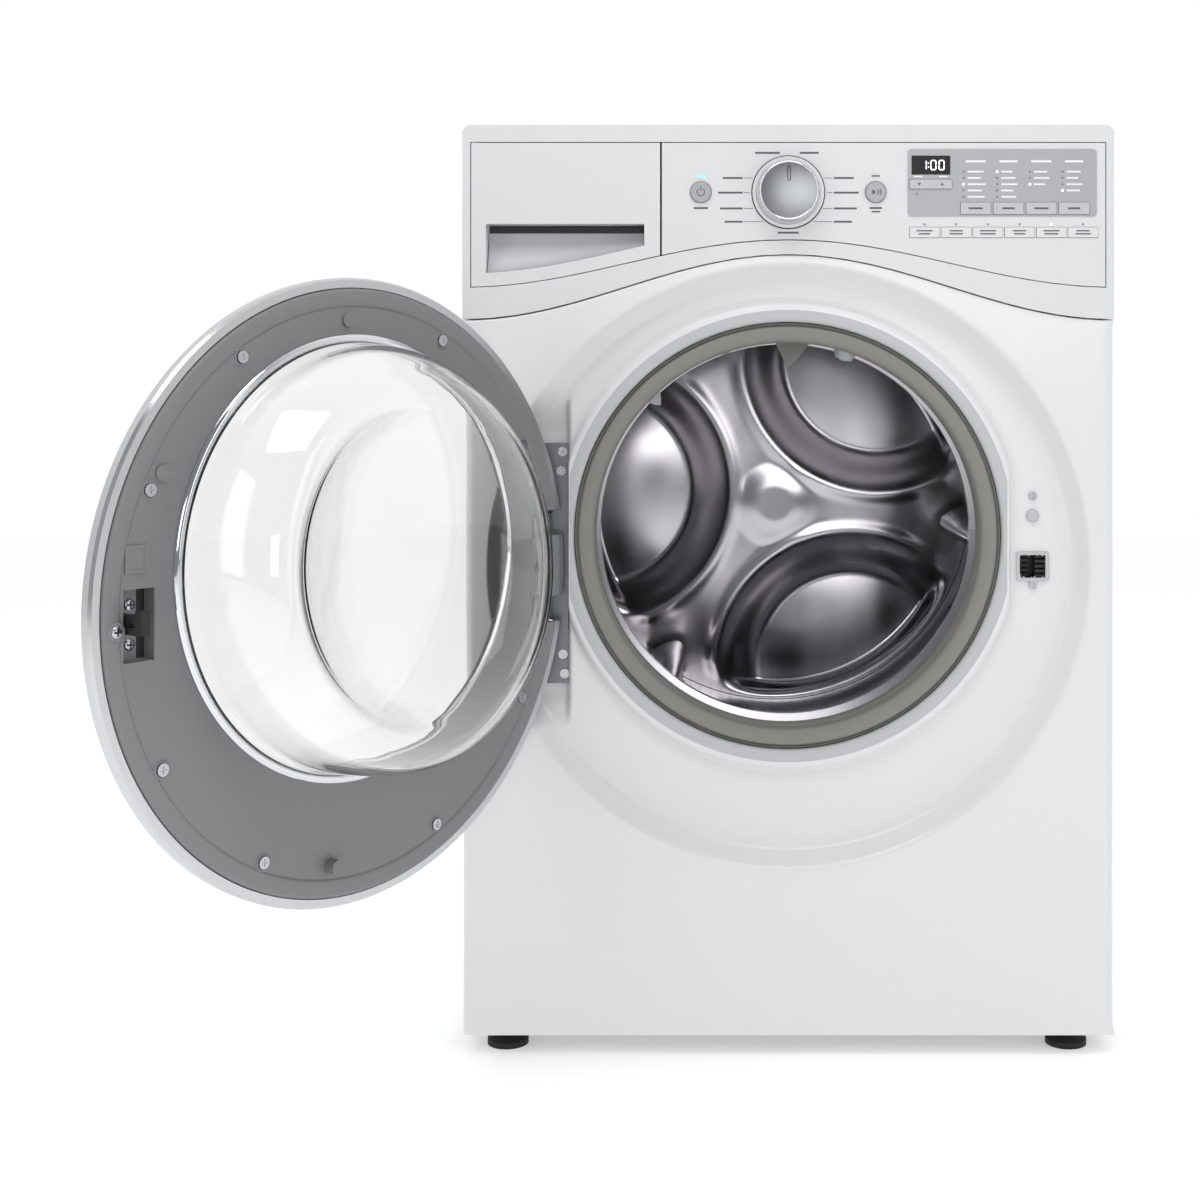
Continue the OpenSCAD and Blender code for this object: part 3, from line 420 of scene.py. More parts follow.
def chrome():
    """Chromium plate on plastic: an almost perfect mirror."""
    m = finish("chrome", "#DADCDE", 0.05, metallic=1.0)
    grain(m, 8, 0.0004)
    return m


def dark_steel():
    """Phosphated and oiled steel of the hinge: grey, with soft broad highlights."""
    m = finish("dark_steel", "#7B7D80", 0.34, metallic=1.0)
    noise = grain(m, 1.5, 0.004)
    vary(m, noise.outputs["Fac"], "Roughness", 0.28, 0.42)
    return m


def zinc_steel():
    """Zinc-plated steel of screws, pins and springs: bright, faintly cloudy."""
    m = finish("zinc_steel", "#BFC1C4", 0.25, metallic=1.0)
    noise = grain(m, 2.0, 0.002)
    vary(m, noise.outputs["Fac"], "Roughness", 0.2, 0.34)
    return m


def galvanised():
    """Hot-dip galvanised sheet of the rear cover and base, with zinc spangle about 9 mm across."""
    m = finish("galvanised", "#B7BABC", 0.4, metallic=0.85)
    tree = m.node_tree
    place = add(tree, "TexCoord").outputs["Object"]
    spangle = add(tree, "TexVoronoi", {"Vector": place, "Scale": 1 / (9 * MM)})
    grey = add(tree, "SeparateXYZ", {0: spangle.outputs["Color"]}).outputs[0]
    vary(m, grey, "Roughness", 0.32, 0.5)
    return m


def cast_aluminium():
    """Die-cast aluminium of spider, pulley and motor frame: pale, with the mould's frosted skin."""
    m = finish("cast_aluminium", "#A8AAAC", 0.45, metallic=1.0)
    grain(m, 0.8, 0.02)
    return m


# %% [markdown]
# ## Rubber, glass and the rest
# The gasket is grey EPDM rubber, matt with a fine bloom. The bowl is pressed borosilicate glass, and the
# outer window is clear polycarbonate. Both let light through, so their colour is only a trace of tint.


# %% Rubber, glass, concrete and board
def gasket_rubber():
    """Grey EPDM moulding: matt, a little paler where its bloom catches light at a slant."""
    m = finish("gasket_rubber", "#86847F", 0.55, IOR=1.48, Sheen_Weight=0.15, Sheen_Roughness=0.4)
    noise = grain(m, 0.6, 0.006)
    vary(m, noise.outputs["Fac"], "Roughness", 0.5, 0.62)
    return m


def black_rubber():
    """Black EPDM of belt, feet and sump hose."""
    m = finish("black_rubber", "#1C1C1C", 0.65, IOR=1.48)
    grain(m, 0.8, 0.01)
    return m


def bowl_glass():
    """Pressed borosilicate glass: clear, with the slow ripple that a press mould leaves."""
    m = finish("bowl_glass", "#F7F7F7", 0.0, IOR=1.474, Transmission_Weight=1.0)
    grain(m, 45, 0.12, detail=0.5)
    return m


def clear_window():
    """Polished polycarbonate: clear and even."""
    m = finish("clear_window", "#FEFEFE", 0.02, IOR=1.585, Transmission_Weight=1.0)
    grain(m, 60, 0.02, detail=0.5)
    return m


def concrete():
    """Cast concrete counterweights: dull, with pores and sandy patches."""
    m = finish("concrete", "#8E8C87", 0.85)
    noise = grain(m, 5, 0.25, detail=6)
    vary(m, noise.outputs["Fac"], "Roughness", 0.75, 0.95)
    return m


def circuit_green():
    """Green solder mask over glass-fibre board: smooth and half glossy."""
    m = finish("circuit_green", "#1F5A38", 0.3, IOR=1.55)
    grain(m, 1.0, 0.003)
    return m


makers = (white_enamel, white_plastic, grey_plastic, light_grey_plastic, black_plastic, tub_plastic,
          overlay_grey, stainless, silver_trim, chrome, dark_steel, zinc_steel, galvanised, cast_aluminium,
          gasket_rubber, black_rubber, bowl_glass, clear_window, concrete, circuit_green)
finishes = {maker.__name__: maker() for maker in makers}
for node_object in frame["nodes"].values():
    for index, old in enumerate(node_object.data.materials):
        node_object.data.materials[index] = finishes[old.name.split(".")[0]]
frame["nodes"]["drum_shell"].data.materials[0] = perforated_stainless()
frame["nodes"]["door_bumpers"].data.materials[0] = finishes["grey_plastic"]
frame["nodes"]["latch_hook"].data.materials[0] = finishes["black_plastic"]
for name in ("power_button", "start_button"):
    frame["nodes"][name].data.materials[0] = finishes["overlay_grey"]
print("finishes:", ", ".join(sorted(finishes)))

# %% [markdown]
# ## The pressed front panel
# On the real machine one sheet is drawn in a press: a lip round the port, a round recess for the door, a
# pocket for the hinge and bent edges. The press can only make soft walls, so the panel is made again as
# one height field. Its rings run from the port's edge, through lip, recess floor and recess wall, out to
# the outline, and the hinge pocket is sunk into them by a smooth mask. The lip's rows are split off and pale
# grey.

# %% Outline of the panel
CREST_RISE = 0.0685
ANGLES = np.linspace(0, 2 * np.pi, 640, endpoint=False)
corner_angles = np.arctan2([TOE - DOOR_Z, TOE - DOOR_Z], [HALF_W, -HALF_W]) % (2 * np.pi)
ANGLES[np.abs(ANGLES[None] - corner_angles[:, None]).argmin(1)] = corner_angles


def reach_outline(angle):
    """How far a ray from the recess centre runs before it meets a side, the toe or the curved crest.

    The crest is z = top - rise / 2 * (1 - cos(pi x / half width)), met by repeated substitution."""
    side = HALF_W / np.maximum(np.abs(np.cos(angle)), 1e-6)
    toe = np.where(np.sin(angle) < -1e-6, (TOE - DOOR_Z) / np.minimum(np.sin(angle), -1e-6), 9.0)
    up = np.maximum(np.sin(angle), 0.05)
    crest = np.full_like(angle, 0.3)
    for _ in range(60):
        x = np.clip(crest * np.cos(angle), -HALF_W, HALF_W)
        top = PANEL_TOP - CREST_RISE / 2 * (1 - np.cos(np.pi * x / HALF_W))
        crest = 0.5 * crest + 0.5 * (top - DOOR_Z) / up
    crest = np.where(np.sin(angle) > 0.05, crest, 9.0)
    return np.minimum(np.minimum(side, toe), crest), side < np.minimum(toe, crest)


outline, on_side = reach_outline(ANGLES)
print("outline runs from", round(outline.min(), 3), "to", round(outline.max(), 3), "m from the recess centre")

# %% Rings of the panel
LIP = smooth_line([[227.2, -33], [227.2, -24], [227.3, -19.4], [228.4, -16.7], [231, -15.4], [235, -15],
                   [240, -15], [243.5, -15.3], [246, -16.7], [248, -19.5], [249.8, -22.3], [252.5, -23.8],
                   [256, -24.1]], 3)
FLAT_LEFT, FLAT_RIGHT = 0.305, 0.445
FLOOR_STEPS, WALL_STEPS, FACE_STEPS, BEND_STEPS = 20, 16, 12, 6
WALL_R = np.array([299.0, 321.0])


def lip_rings():
    """Circles about the drum axis, cut by upright flats at both sides: r = min(r, flat(r) / |cos a|)."""
    r, t = LIP[:, :1], LIP[:, 1:]
    share = np.where(np.cos(ANGLES) < 0, FLAT_LEFT, FLAT_RIGHT)
    flat_r = np.minimum(r, (LIP[0, 0] + (r - LIP[0, 0]) * share) / np.maximum(np.abs(np.cos(ANGLES)), 0.01))
    x, z = flat_r * np.cos(ANGLES), PORT_Z / MM + flat_r * np.sin(ANGLES)
    return x, z, np.broadcast_to(t, x.shape)


def floor_rings():
    """Rings that slide from the lip's foot about the drum axis to the recess wall about its own centre."""
    s = np.linspace(0, 1, FLOOR_STEPS + 1)[1:, None]
    lip_x, lip_z, _ = lip_rings()
    x = lip_x[-1] + (WALL_R[0] * np.cos(ANGLES) - lip_x[-1]) * s
    z = lip_z[-1] + (DOOR_Z / MM + WALL_R[0] * np.sin(ANGLES) - lip_z[-1]) * s
    return x, z, -24.1 + 0.1 * s + 0 * x


def wall_rings():
    """The recess wall rises from the floor to the face along u^2 (3 - 2 u)."""
    u = np.linspace(0, 1, WALL_STEPS + 1)[1:, None]
    r = WALL_R[0] + (WALL_R[1] - WALL_R[0]) * u
    return r * np.cos(ANGLES), DOOR_Z / MM + r * np.sin(ANGLES), -24 * (1 - ease(u, 0, 1)) + 0 * r * ANGLES


def face_rings():
    """A flat face, a quarter round of radius 9 at the sides and 3 above and below, then a flange."""
    edge = outline / MM
    bend = np.where(on_side, 9.0, 3.0)
    s = np.linspace(0, 1, FACE_STEPS + 1)[1:, None]
    inner = edge - bend / np.maximum(np.abs(np.where(on_side, np.cos(ANGLES), np.sin(ANGLES))), 0.3)
    flat = np.maximum(WALL_R[1] + (inner - WALL_R[1]) * s, WALL_R[1] + 0.02 * s)
    q = np.radians(np.linspace(0, 90, BEND_STEPS + 1))[1:, None]
    round_r = flat[-1] + (edge - flat[-1]) * np.sin(q)
    round_t = -bend * (1 - np.cos(q))
    r = np.vstack([flat, round_r, edge[None]])
    t = np.vstack([0 * flat, round_t, np.full((1, len(edge)), -25.0)])
    return r * np.cos(ANGLES), DOOR_Z / MM + r * np.sin(ANGLES), t


rings = [lip_rings(), floor_rings(), wall_rings(), face_rings()]
panel_x, panel_z, panel_t = (np.vstack([part[k] for part in rings]) for k in range(3))
print("panel rings:", panel_x.shape[0], "points a ring:", panel_x.shape[1])

# %% Sink the hinge pocket and cut the lock slot
POCKET_Z = np.array([352.0, 694.0])
POCKET_T = -42.0
PORT_ROWS = 24
pocket_wide = ease(-panel_x, 231.5, 235.5) * (1 - ease(-panel_x, 312, 321))
pocket_low = ease(panel_z, POCKET_Z[0] - 9, POCKET_Z[0] + 31)
pocket_high = 1 - ease(panel_z, POCKET_Z[1] - 40, POCKET_Z[1] + 9)
pocket = pocket_wide * pocket_low * pocket_high
pocket[:PORT_ROWS] = 0
pocket = np.where(panel_t > -1, 0, pocket)
panel_t = panel_t + (POCKET_T - panel_t) * pocket
panel_points = np.stack([panel_x * MM, at(panel_t), panel_z * MM], -1)
LIP_ROWS = 18
lip_faces = grid_faces(LIP_ROWS + 1, len(ANGLES), wrap_cols=True)
# The lip's rows take the pale grey finish, darker than the white enamel of the rest of the sheet.
new_piece("port_lip", panel_points[:LIP_ROWS + 1], lip_faces, "light_grey_plastic", "cabinet")
panel_faces = np.array(grid_faces(panel_x.shape[0] - LIP_ROWS, len(ANGLES), wrap_cols=True))
LOCK = np.array([261.0, 514.0])
middle = np.stack([panel_x, panel_z], -1)[LIP_ROWS:].reshape(-1, 2)[panel_faces].mean(1)
kept = (np.abs(middle - LOCK) > np.array([14.0, 12.5])).any(1)
front_skin = new_piece("pressed_front", panel_points[LIP_ROWS:], panel_faces[kept].tolist(),
                       "white_enamel", "cabinet", replaces=("front_panel",))
print("pressed front:", len(front_skin.data.polygons), "faces")

# %% [markdown]
# ## Lock bezel and teeth
# Behind the slot sits the lock. Its moulded bezel frames the slot with a small round edge, and black teeth
# of the child guard reach in from both sides. The left ones sit deeper, so that the door's hook passes them.
# Frames are prisms with a hole, built from two outlines.


# %% Frames
def frame_ring(name, outer, inner, t0, t1, bevel, material, body, on_door=False, **more):
    """A flat ring between two outlines of equal count, its outer rim set back by bevel at the front."""
    outer, inner = np.asarray(outer, float), np.asarray(inner, float)
    centre = outer.mean(0)
    in_by = bevel / np.linalg.norm(outer - centre, axis=1).max()
    lines = [outer, outer, outer + (centre - outer) * in_by, inner, inner]
    depth = [t0, t1 - bevel, t1, t1, t0]
    pts = np.stack([np.stack([line[:, 0] * MM, np.full(len(line), at(t)), line[:, 1] * MM], -1)
                    for line, t in zip(lines, depth)])
    faces = grid_faces(len(lines), len(outer), True, True)
    return new_piece(name, swung(pts) if on_door else pts, faces, material, body, smooth=False, **more)


frame_ring("lock_bezel", box_line(*LOCK, 35, 32, 3), box_line(*LOCK, 27.5, 24.5, 1.2), -26, -21.6, 0.8,
           "light_grey_plastic", "cabinet")
teeth = [[box_line(LOCK[0] + side * 8.2, LOCK[1] + row * 5.2, 10.5, 3.1) for row in (-2, -1, 0, 1, 2)]
         for side in (-1, 1)]
tiles("lock_teeth", teeth[1], -34, -26.5, "black_plastic", "cabinet")
tiles("lock_comb", teeth[0], -44, -36, "black_plastic", "cabinet")
tiles("lock_cavity", [box_line(*LOCK, 27.5, 24.5)], -46, -45, "black_plastic", "cabinet")
print("lock bezel with", len(teeth[0]) + len(teeth[1]), "teeth")

# %% [markdown]
# ## The gasket
# A moulded bellows of grey rubber clips over the panel's lip, runs in as a broad flat band with a groove,
# and folds back to the tub's neck, so that the tub can shake while the port stays tight. It is one closed
# profile turned round the drum axis.

# %% Gasket
gasket_outer = [[226.9, -31], [226.8, -26], [226.3, -22.4], [225.3, -21.4], [224.5, -22.4], [223.9, -23.6],
                [223.1, -23.2], [222.2, -19.6], [220.6, -18.2], [214, -19], [209, -21], [206.4, -24],
                [205.4, -29], [206, -35.5], [212, -40], [222, -43.5], [224.5, -49], [219, -55], [209.5, -60],
                [206.5, -68], [211, -75], [220, -79], [221.3, -86], [221.3, -96]]
gasket_inner = [[224.3, -96], [224.2, -85], [221.5, -76.5], [213.5, -72.4], [209.8, -68], [212, -62.4],
                [221, -57.5], [227.6, -50], [225.5, -41.3], [214, -37.2], [209.2, -34.5], [208.4, -30],
                [209.4, -25.8], [213, -23], [220, -22.2], [221.6, -26], [223.6, -27.4], [224.6, -31]]
gasket_profile = np.vstack([smooth_line(gasket_outer, 4), smooth_line(gasket_inner, 3)])
gasket = ring("bellows_gasket", gasket_profile, 0, PORT_Z, finishes["gasket_rubber"], None, segments=180)
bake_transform(gasket)
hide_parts("door_gasket")
print("gasket:", len(gasket.data.polygons), "faces")

# %% [markdown]
# ## Spray nozzles at the top of the port
# Water and steam enter through small fittings above the drum's mouth: a round cap, a clear nozzle, a
# moulded duct and a side guide. Each is a small half-sunk shape: a rounded stub is a profile turned about an
# axis that points from the port's rim to the middle.


# %% Fittings in the port
def stub(name, angle_deg, rim_r, length, radius, t, material):
    """A rounded stub: radius * (1 - s^4)^(1/4) along its length, pointing from the rim to the drum axis."""
    s = np.linspace(0, 1, 14)[:, None]
    a = np.linspace(0, 2 * np.pi, 32, endpoint=False)[None]
    r = radius * (1 - s**4) ** 0.25
    inward = rim_r - length * s
    g = np.radians(angle_deg)
    u, w = r * np.cos(a), r * np.sin(a)
    x = (inward * np.cos(g) - u * np.sin(g)) * MM
    z = PORT_Z + (inward * np.sin(g) + u * np.cos(g)) * MM
    pts = np.stack([x, at(t + w), z], -1)
    back = pts[:1].mean(1, keepdims=True) + 0 * pts[:1]
    return new_piece(name, np.vstack([back, pts]), grid_faces(15, 32, wrap_cols=True), material, "tub")


def guide_fin(name, angle_deg, width, depth, t0, t1, material):
    """A duct that narrows towards the drum axis: an outline on the rim, drawn to a rounded tip."""
    g = np.radians(angle_deg)
    v = np.array([[-width, 223], [-width * 0.75, 214], [-width * 0.1, 222 - depth],
                  [width * 0.12, 222 - depth], [width * 0.55, 212], [width, 223]])
    x = v[:, 1] * np.cos(g) - v[:, 0] * np.sin(g)
    z = PORT_Z / MM + v[:, 1] * np.sin(g) + v[:, 0] * np.cos(g)
    line = smooth_line(np.stack([x, z], -1), 5, closed=True)
    return tiles(name, [line], t0, t1, material, "tub")


stub("rinse_cap", 71.5, 222, 25, 12.5, -88, finishes["light_grey_plastic"])
stub("steam_nozzle", 108.6, 222, 17, 10, -84, finishes["clear_window"])
guide_fin("duct_outlet", 88.5, 36, 38, -96, -88, finishes["gasket_rubber"])
guide_fin("side_guide", 134.8, 21, 25, -96, -84, finishes["light_grey_plastic"])
print("four fittings in the port")

# %% [markdown]
# ## Suspension springs
# Two close-wound springs of steel wire hang the tub from the cabinet, and stretch as it moves. One path runs
# up the lower hook, winds 22 turns and leaves by the upper hook: its radius eases from 0 to 11 mm and back
# over half a turn. A round wire is swept along it, its circle spanned by two directions square to the path.

# %% Springs
spring_low, spring_high = (np.array(corner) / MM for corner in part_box("suspension_springs"))
SPRING_X, SPRING_Y = spring_high[0] - 13.3, (spring_low[1] + spring_high[1]) / 2
coil_a = np.linspace(-np.pi, 45 * np.pi, 600)
wind = np.concatenate([np.full(8, -np.pi), coil_a, np.full(8, 45 * np.pi)])
rise = np.concatenate([np.linspace(0.3, 53, 8), 56 + coil_a * 2 / np.pi, np.linspace(147, 199.7, 8)])
out = 11 * ease(wind, -np.pi, 0) * (1 - ease(wind, 44 * np.pi, 45 * np.pi))
path = np.stack([out * np.cos(wind), out * np.sin(wind), spring_low[2] + rise], -1)
along = np.gradient(path, axis=0)
across = np.cross(along, np.stack([np.cos(wind), np.sin(wind), 0 * wind], -1))
across /= np.linalg.norm(across, axis=1, keepdims=True)
beside = np.cross(along / np.linalg.norm(along, axis=1, keepdims=True), across)
wire_a = np.linspace(0, 2 * np.pi, 10, endpoint=False)[None, :, None]
wire = path[:, None] + 1.9 * (across[:, None] * np.cos(wire_a) + beside[:, None] * np.sin(wire_a))
wire = np.concatenate([path[:1, None].repeat(10, 1), wire, path[-1:, None].repeat(10, 1)])
one_coil = np.array(grid_faces(len(wire), 10, wrap_cols=True))
both = np.stack([wire + (side * SPRING_X, SPRING_Y, 0) for side in (-1, 1)]) * MM
springs = new_piece("hanging_springs", both, np.vstack([one_coil, one_coil + wire[..., 0].size]).tolist(),
                    finishes["zinc_steel"], None)
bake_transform(springs)
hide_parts("suspension_springs")
print("springs:", len(springs.data.polygons), "faces")

# %% [markdown]
# ## The drum's back
# The back of the drum is drawn from one polished disc: three wide round dishes leave a raised three-armed
# star that matches the cast spider behind it. It is a height field in polar form. Each dish falls by a
# smooth wall from its rim, and its middle swells back a little, which gives the long bent reflections.

# %% Star of the drum back
BACK_T = -508.8
DISH_AT, DISH_R, DISH_WALL, DISH_DEPTH = 240.0, 180.0, 58.0, 17.0
DISH_ANGLES = np.radians([55.0, 175.0, 295.0])
DISH_X, DISH_Z = DISH_AT * np.cos(DISH_ANGLES), DISH_AT * np.sin(DISH_ANGLES)


def star_depth(x, z):
    """Depth under the star: each dish falls by u^2 (3 - 2 u) over its wall and swells back in its middle."""
    gap = np.hypot(x[..., None] - DISH_X, z[..., None] - DISH_Z).min(-1)
    fall = ease(DISH_R - gap, 0, DISH_WALL)
    swell = 0.35 * (1 - np.clip(gap / (DISH_R - DISH_WALL), 0, 1) ** 2)
    rolled = 1.6 * np.exp(-((gap - DISH_R - 4) / 9.0) ** 2)
    reach = np.hypot(x, z)
    return DISH_DEPTH * (fall - swell) * (1 - ease(reach, 236, 257)) - rolled * (1 - ease(reach, 225, 250))


star_r = np.linspace(0, 260.4, 100)[:, None]
star_a = np.linspace(0, 2 * np.pi, 420, endpoint=False)[None]
star_x, star_z = star_r * np.cos(star_a), star_r * np.sin(star_a)
hub = 3.0 * (1 - ease(star_r, 20, 60))
star_t = BACK_T - star_depth(star_x, star_z) + hub
star_points = np.stack([star_x * MM, at(star_t), PORT_Z + star_z * MM], -1)
new_piece("drum_star", star_points, grid_faces(100, 420, wrap_cols=True), "stainless",
          "drum", replaces=("drum_back",))
print("drum back dishes are", round(float(star_depth(star_x, star_z).max()), 1), "mm deep")

# %% [markdown]
# ## Drum baffles
# Three lifters run along the drum wall. They are roll-formed, so their ridge is round and their ends slope
# down. Each is a bump on the drum wall: its height is a power of cosine across and an ease along.


# %% Lifters
def lifter(angle):
    """Height above the drum wall: 43 cos(pi v / 2)^1.5 across, eased to nothing at both ends."""
    along = np.linspace(0, 1, 60)[:, None]
    across = np.linspace(-1, 1, 41)[None]
    rise = 43 * np.cos(np.pi * across / 2).clip(0) ** 1.5
    rise = rise * ease(along, 0, 0.08) * (1 - ease(along, 0.93, 1))
    u = 36 * across + 0 * along
    r = 260.6 - rise
    x = r * np.cos(angle) - u * np.sin(angle)
    z = r * np.sin(angle) + u * np.cos(angle)
    over = np.hypot(x, z) / 260.6
    x, z = x / np.maximum(over, 1), z / np.maximum(over, 1)
    return np.stack([x * MM, at(-132 - 360 * along + 0 * across), PORT_Z + z * MM], -1)


lifter_points = np.vstack([lifter(a).reshape(-1, 3) for a in DISH_ANGLES - np.pi / 3])
one = np.array(grid_faces(60, 41))
lifter_faces = np.vstack([one + k * 60 * 41 for k in range(3)]).tolist()
new_piece("drum_lifters", lifter_points, lifter_faces, "stainless", "drum",
          replaces=("drum_baffles",))
print("three lifters of", 60 * 41, "points each")

# %% [markdown]
# ## The glass bowl of the door
# The bowl keeps laundry off the door and steers water back into the drum. A gob of glass is pressed between
# two moulds: a flat rim, a steep wall, a fat rounded ridge and a face dished inwards, deeper at the bottom
# so that clothes fall off it. It is lofted from one profile whose depth is scaled round the circle, and a
# Solidify modifier gives it the wall of real glass, which is what makes the bright and dark edge lines.

# %% Bowl
BOWL_X = 4.0
bowl_rim = np.array([[207.5, 3], [200.5, 3.4], [196.5, 0.5], [194.5, -5], [193, -12], [191.5, -30],
                     [187.5, -50], [182, -66], [175, -79], [166, -87], [156.5, -89.5], [147.5, -87],
                     [138, -80.5], [124, -73], [100, -66], [70, -60.5], [38, -57], [12, -55.8], [0, -55.6]])
bowl_profile = smooth_line(bowl_rim, 6)
bowl_r, bowl_t = bowl_profile[:, :1], bowl_profile[:, 1:]
bowl_t = np.where(bowl_r < 70, -55.6 - 4.9 * (bowl_r / 70) ** 2, bowl_t)
bowl_a = np.linspace(0, 2 * np.pi, 240, endpoint=False)[None]
deep = 1 - 0.19 * np.sin(bowl_a) * np.minimum(bowl_r / 150, 1)
bowl_x = BOWL_X + bowl_r * np.cos(bowl_a)
bowl_z = bowl_r * np.sin(bowl_a) - 4.5 * ease(-bowl_t, 30, 80) * ease(bowl_r, 60, 150)
bowl_y = at(-12 + np.where(bowl_t < -20, -20 + (bowl_t + 20) * deep, bowl_t))
bowl_points = swung(np.stack([bowl_x * MM, bowl_y, PORT_Z + bowl_z * MM], -1))
bowl = new_piece("pressed_glass_bowl", bowl_points, grid_faces(len(bowl_r), 240, wrap_cols=True),
                 "bowl_glass", "door", replaces=("glass_bowl",))
glass_wall = bowl.modifiers.new("glass_wall", "SOLIDIFY")
glass_wall.thickness = 5 * MM
glass_wall.offset = -1
print("bowl:", len(bowl.data.polygons), "faces before its wall")

# %% [markdown]
# ## The outer window
# The window is a shallow dome of clear polycarbonate, injection moulded and held by its flat flange behind
# the trim ring. It is turned from one profile: a quarter of an ellipse outside, the same quarter 3 mm
# further in on the inside, and a flange that joins them.

# %% Window
window_a = np.radians(np.linspace(0, 90, 48))
window_out = np.stack([252.5 * np.cos(window_a), 10.5 + 34 * np.sin(window_a)], -1)
window_in = np.stack([249.5 * np.cos(window_a), 7.5 + 34 * np.sin(window_a)], -1)[::-1]
window_profile = np.vstack([[[263, 7.5], [263, 10.5], [255, 10.5]], window_out, window_in])
ring("clear_dome", window_profile, 0, DOOR_Z, "clear_window", "door", on_door=True, segments=240,
     replaces=("door_window",))
print("window dome of", len(window_profile), "rings")

# %% [markdown]
# ## Rings round the bowl, and the door's inner moulding
# A bright clip ring holds the bowl's rim, with a thin black seal under it. The moulding's border has a
# stepped band, and three more pan screws hold the latch. Each is a small profile turned round the door's or
# the bowl's middle.

# %% Clip ring, seal and stepped band
BOWL = dict(x=BOWL_X * MM, z=PORT_Z, on_door=True)
ring("bowl_seal", [[196.5, -11], [200.4, -11], [200.4, -14.2], [199, -15], [196.5, -14.2]],
     material="black_rubber", body="door", **BOWL)
clip = smooth_line([[199.6, -12], [200, -14.8], [202.3, -16], [205.4, -15.7], [207.6, -14], [207.8, -12]], 5)
ring("bowl_clip_ring", clip, material="chrome", body="door", replaces=("glass_ring",), segments=240, **BOWL)
band = [[263, -11.5], [264.5, -12.6], [267, -13.4], [277.5, -13.4], [280, -12.6], [280.6, -11]]
band_points = swung(turned(smooth_line(band, 4), 0, DOOR_Z, 220, 195, 330))
new_piece("liner_step_band", band_points, grid_faces(band_points.shape[0], 220),
          "grey_plastic", "door")
print("rings round the bowl and a band round the liner")


# %% Latch screws
def pan_head(name, x, z, t, radius, body, on_door=False, way=1):
    """A pan head: a low dome of the given radius, with the shade in its cross recess painted as a dark tile
    on top.
    """
    s = np.linspace(0, 1, 8)
    dome = np.stack([radius * np.cos(s * np.pi / 2) ** 0.7, t + way * 2.2 * np.sin(s * np.pi / 2)], -1)
    pts = turned(np.vstack([[radius, t - way * 0.5], dome]), x * MM, z * MM, 28)
    new_piece(name, swung(pts) if on_door else pts, grid_faces(9, 28, wrap_cols=True), finishes["zinc_steel"],
              body, slot="zinc_steel")
    arm = np.array([[0.12, 0.5], [0.12, 0.12], [0.5, 0.12], [0.5, -0.12], [0.12, -0.12], [0.12, -0.5],
                    [-0.12, -0.5], [-0.12, -0.12], [-0.5, -0.12], [-0.5, 0.12], [-0.12, 0.12], [-0.12, 0.5]])
    ends = sorted((t + way * 2.0, t + way * 2.35))
    # The dark tile paints the shade inside the cross recess.
    tiles(name + "_painted_cross_shade", [arm * radius * 1.3 + np.array([x, z])], *ends, finishes["black_plastic"], body,
          on_door=on_door, slot="black_plastic")


SCREWS_R = 0.257
SCREW_ANGLES = np.radians([24, 57, 114, 150, 180, 211, 248, 297, 330])
for number, angle in enumerate(SCREW_ANGLES, 1):
    well = smooth_line([[5.6, -11.8], [5.8, -12.5], [7.2, -12.9], [8.2, -12.4], [8.4, -11.8]], 3)
    ring(f"screw_well_{number}", well, SCREWS_R * np.cos(angle), DOOR_Z + SCREWS_R * np.sin(angle),
         "grey_plastic", "door", on_door=True, segments=32)
plug = smooth_line([[0, -20.4], [4.5, -20.5], [6.2, -21.1], [6.6, -22.6], [6.6, -24.4], [0, -24.4]], 3)
ring("spare_hole_plug", plug, 0.261, 0.568, "light_grey_plastic", "cabinet", segments=40)
for number, (x, z, t) in enumerate([(245, 526, 0.9), (245, 493, 0.9), (268, 507, -14.4)], 1):
    pan_head(f"latch_screw_{number}", x, z, t, 5.2, "door", on_door=True, way=-1)
ring("latch_boss", [[0.01, -11], [8.6, -11], [8.2, -14.2], [7.6, -14.6], [0.01, -14.6]], 268 * MM, 507 * MM,
     "grey_plastic", "door", on_door=True, segments=40)
# Painted shade: flat black tiles on the liner stand for the slots' dark openings, which are not cut.
slits = [box_line(-241, DOOR_Z / MM + side * 45.7 + end * 15.8, 1.8, 7)
         for side in (-1, 1) for end in (-1, 1)]
tiles("hinge_slits_painted_shade", slits, -12.5, -12.05, "black_plastic", "door", on_door=True)
# Painted shadow: two black tiles darken the latch window's deep slot and a thin line beside it.
shadow_gaps = [box_line(234.6, 510, 7.6, 57), box_line(259, 510, 1.4, 60)]
tiles("latch_painted_shadows", shadow_gaps, 0.45, 0.85, "black_plastic", "door", on_door=True)
print("three latch screws and", len(slits), "slits by the hinge arms")

# %% [markdown]
# ## The console's printing, lights and symbols
# Words are not drawn: short generic bars stand where labels would be, and ticks mark the dial. The display
# is a dark window with a time made of seven-segment bars, and small lamps show what is chosen. Everything
# flat here is a thin tile laid on the film, the fascia or a key.

# %% Lamp and ink finishes
def lamp(name, hex_value, strength):
    """A lit light-emitting diode behind its diffuser: an even glow."""
    return finish(name, "#0C0C0C", 0.3, Emission_Color=colour(hex_value), Emission_Strength=strength)


def display_glass():
    """Smoked acrylic over the display: almost black and glossy."""
    return finish("display_glass", "#0B0C0E", 0.25, IOR=1.3)


def print_ink(name, hex_value):
    """Screen-printed ink: flat, and half as glossy as the film under it."""
    return finish(name, hex_value, 0.45, IOR=1.5)


lit_white = lamp("lit_white", "#F4FAFF", 2.2)
lit_blue = lamp("lit_blue", "#6FD3F2", 2.0)
dark_ink = print_ink("dark_ink", "#5A5C5F")
pale_ink = print_ink("pale_ink", "#F1F2F3")
unlit = print_ink("unlit_lamp", "#77797C")
print("inks and lamps ready")

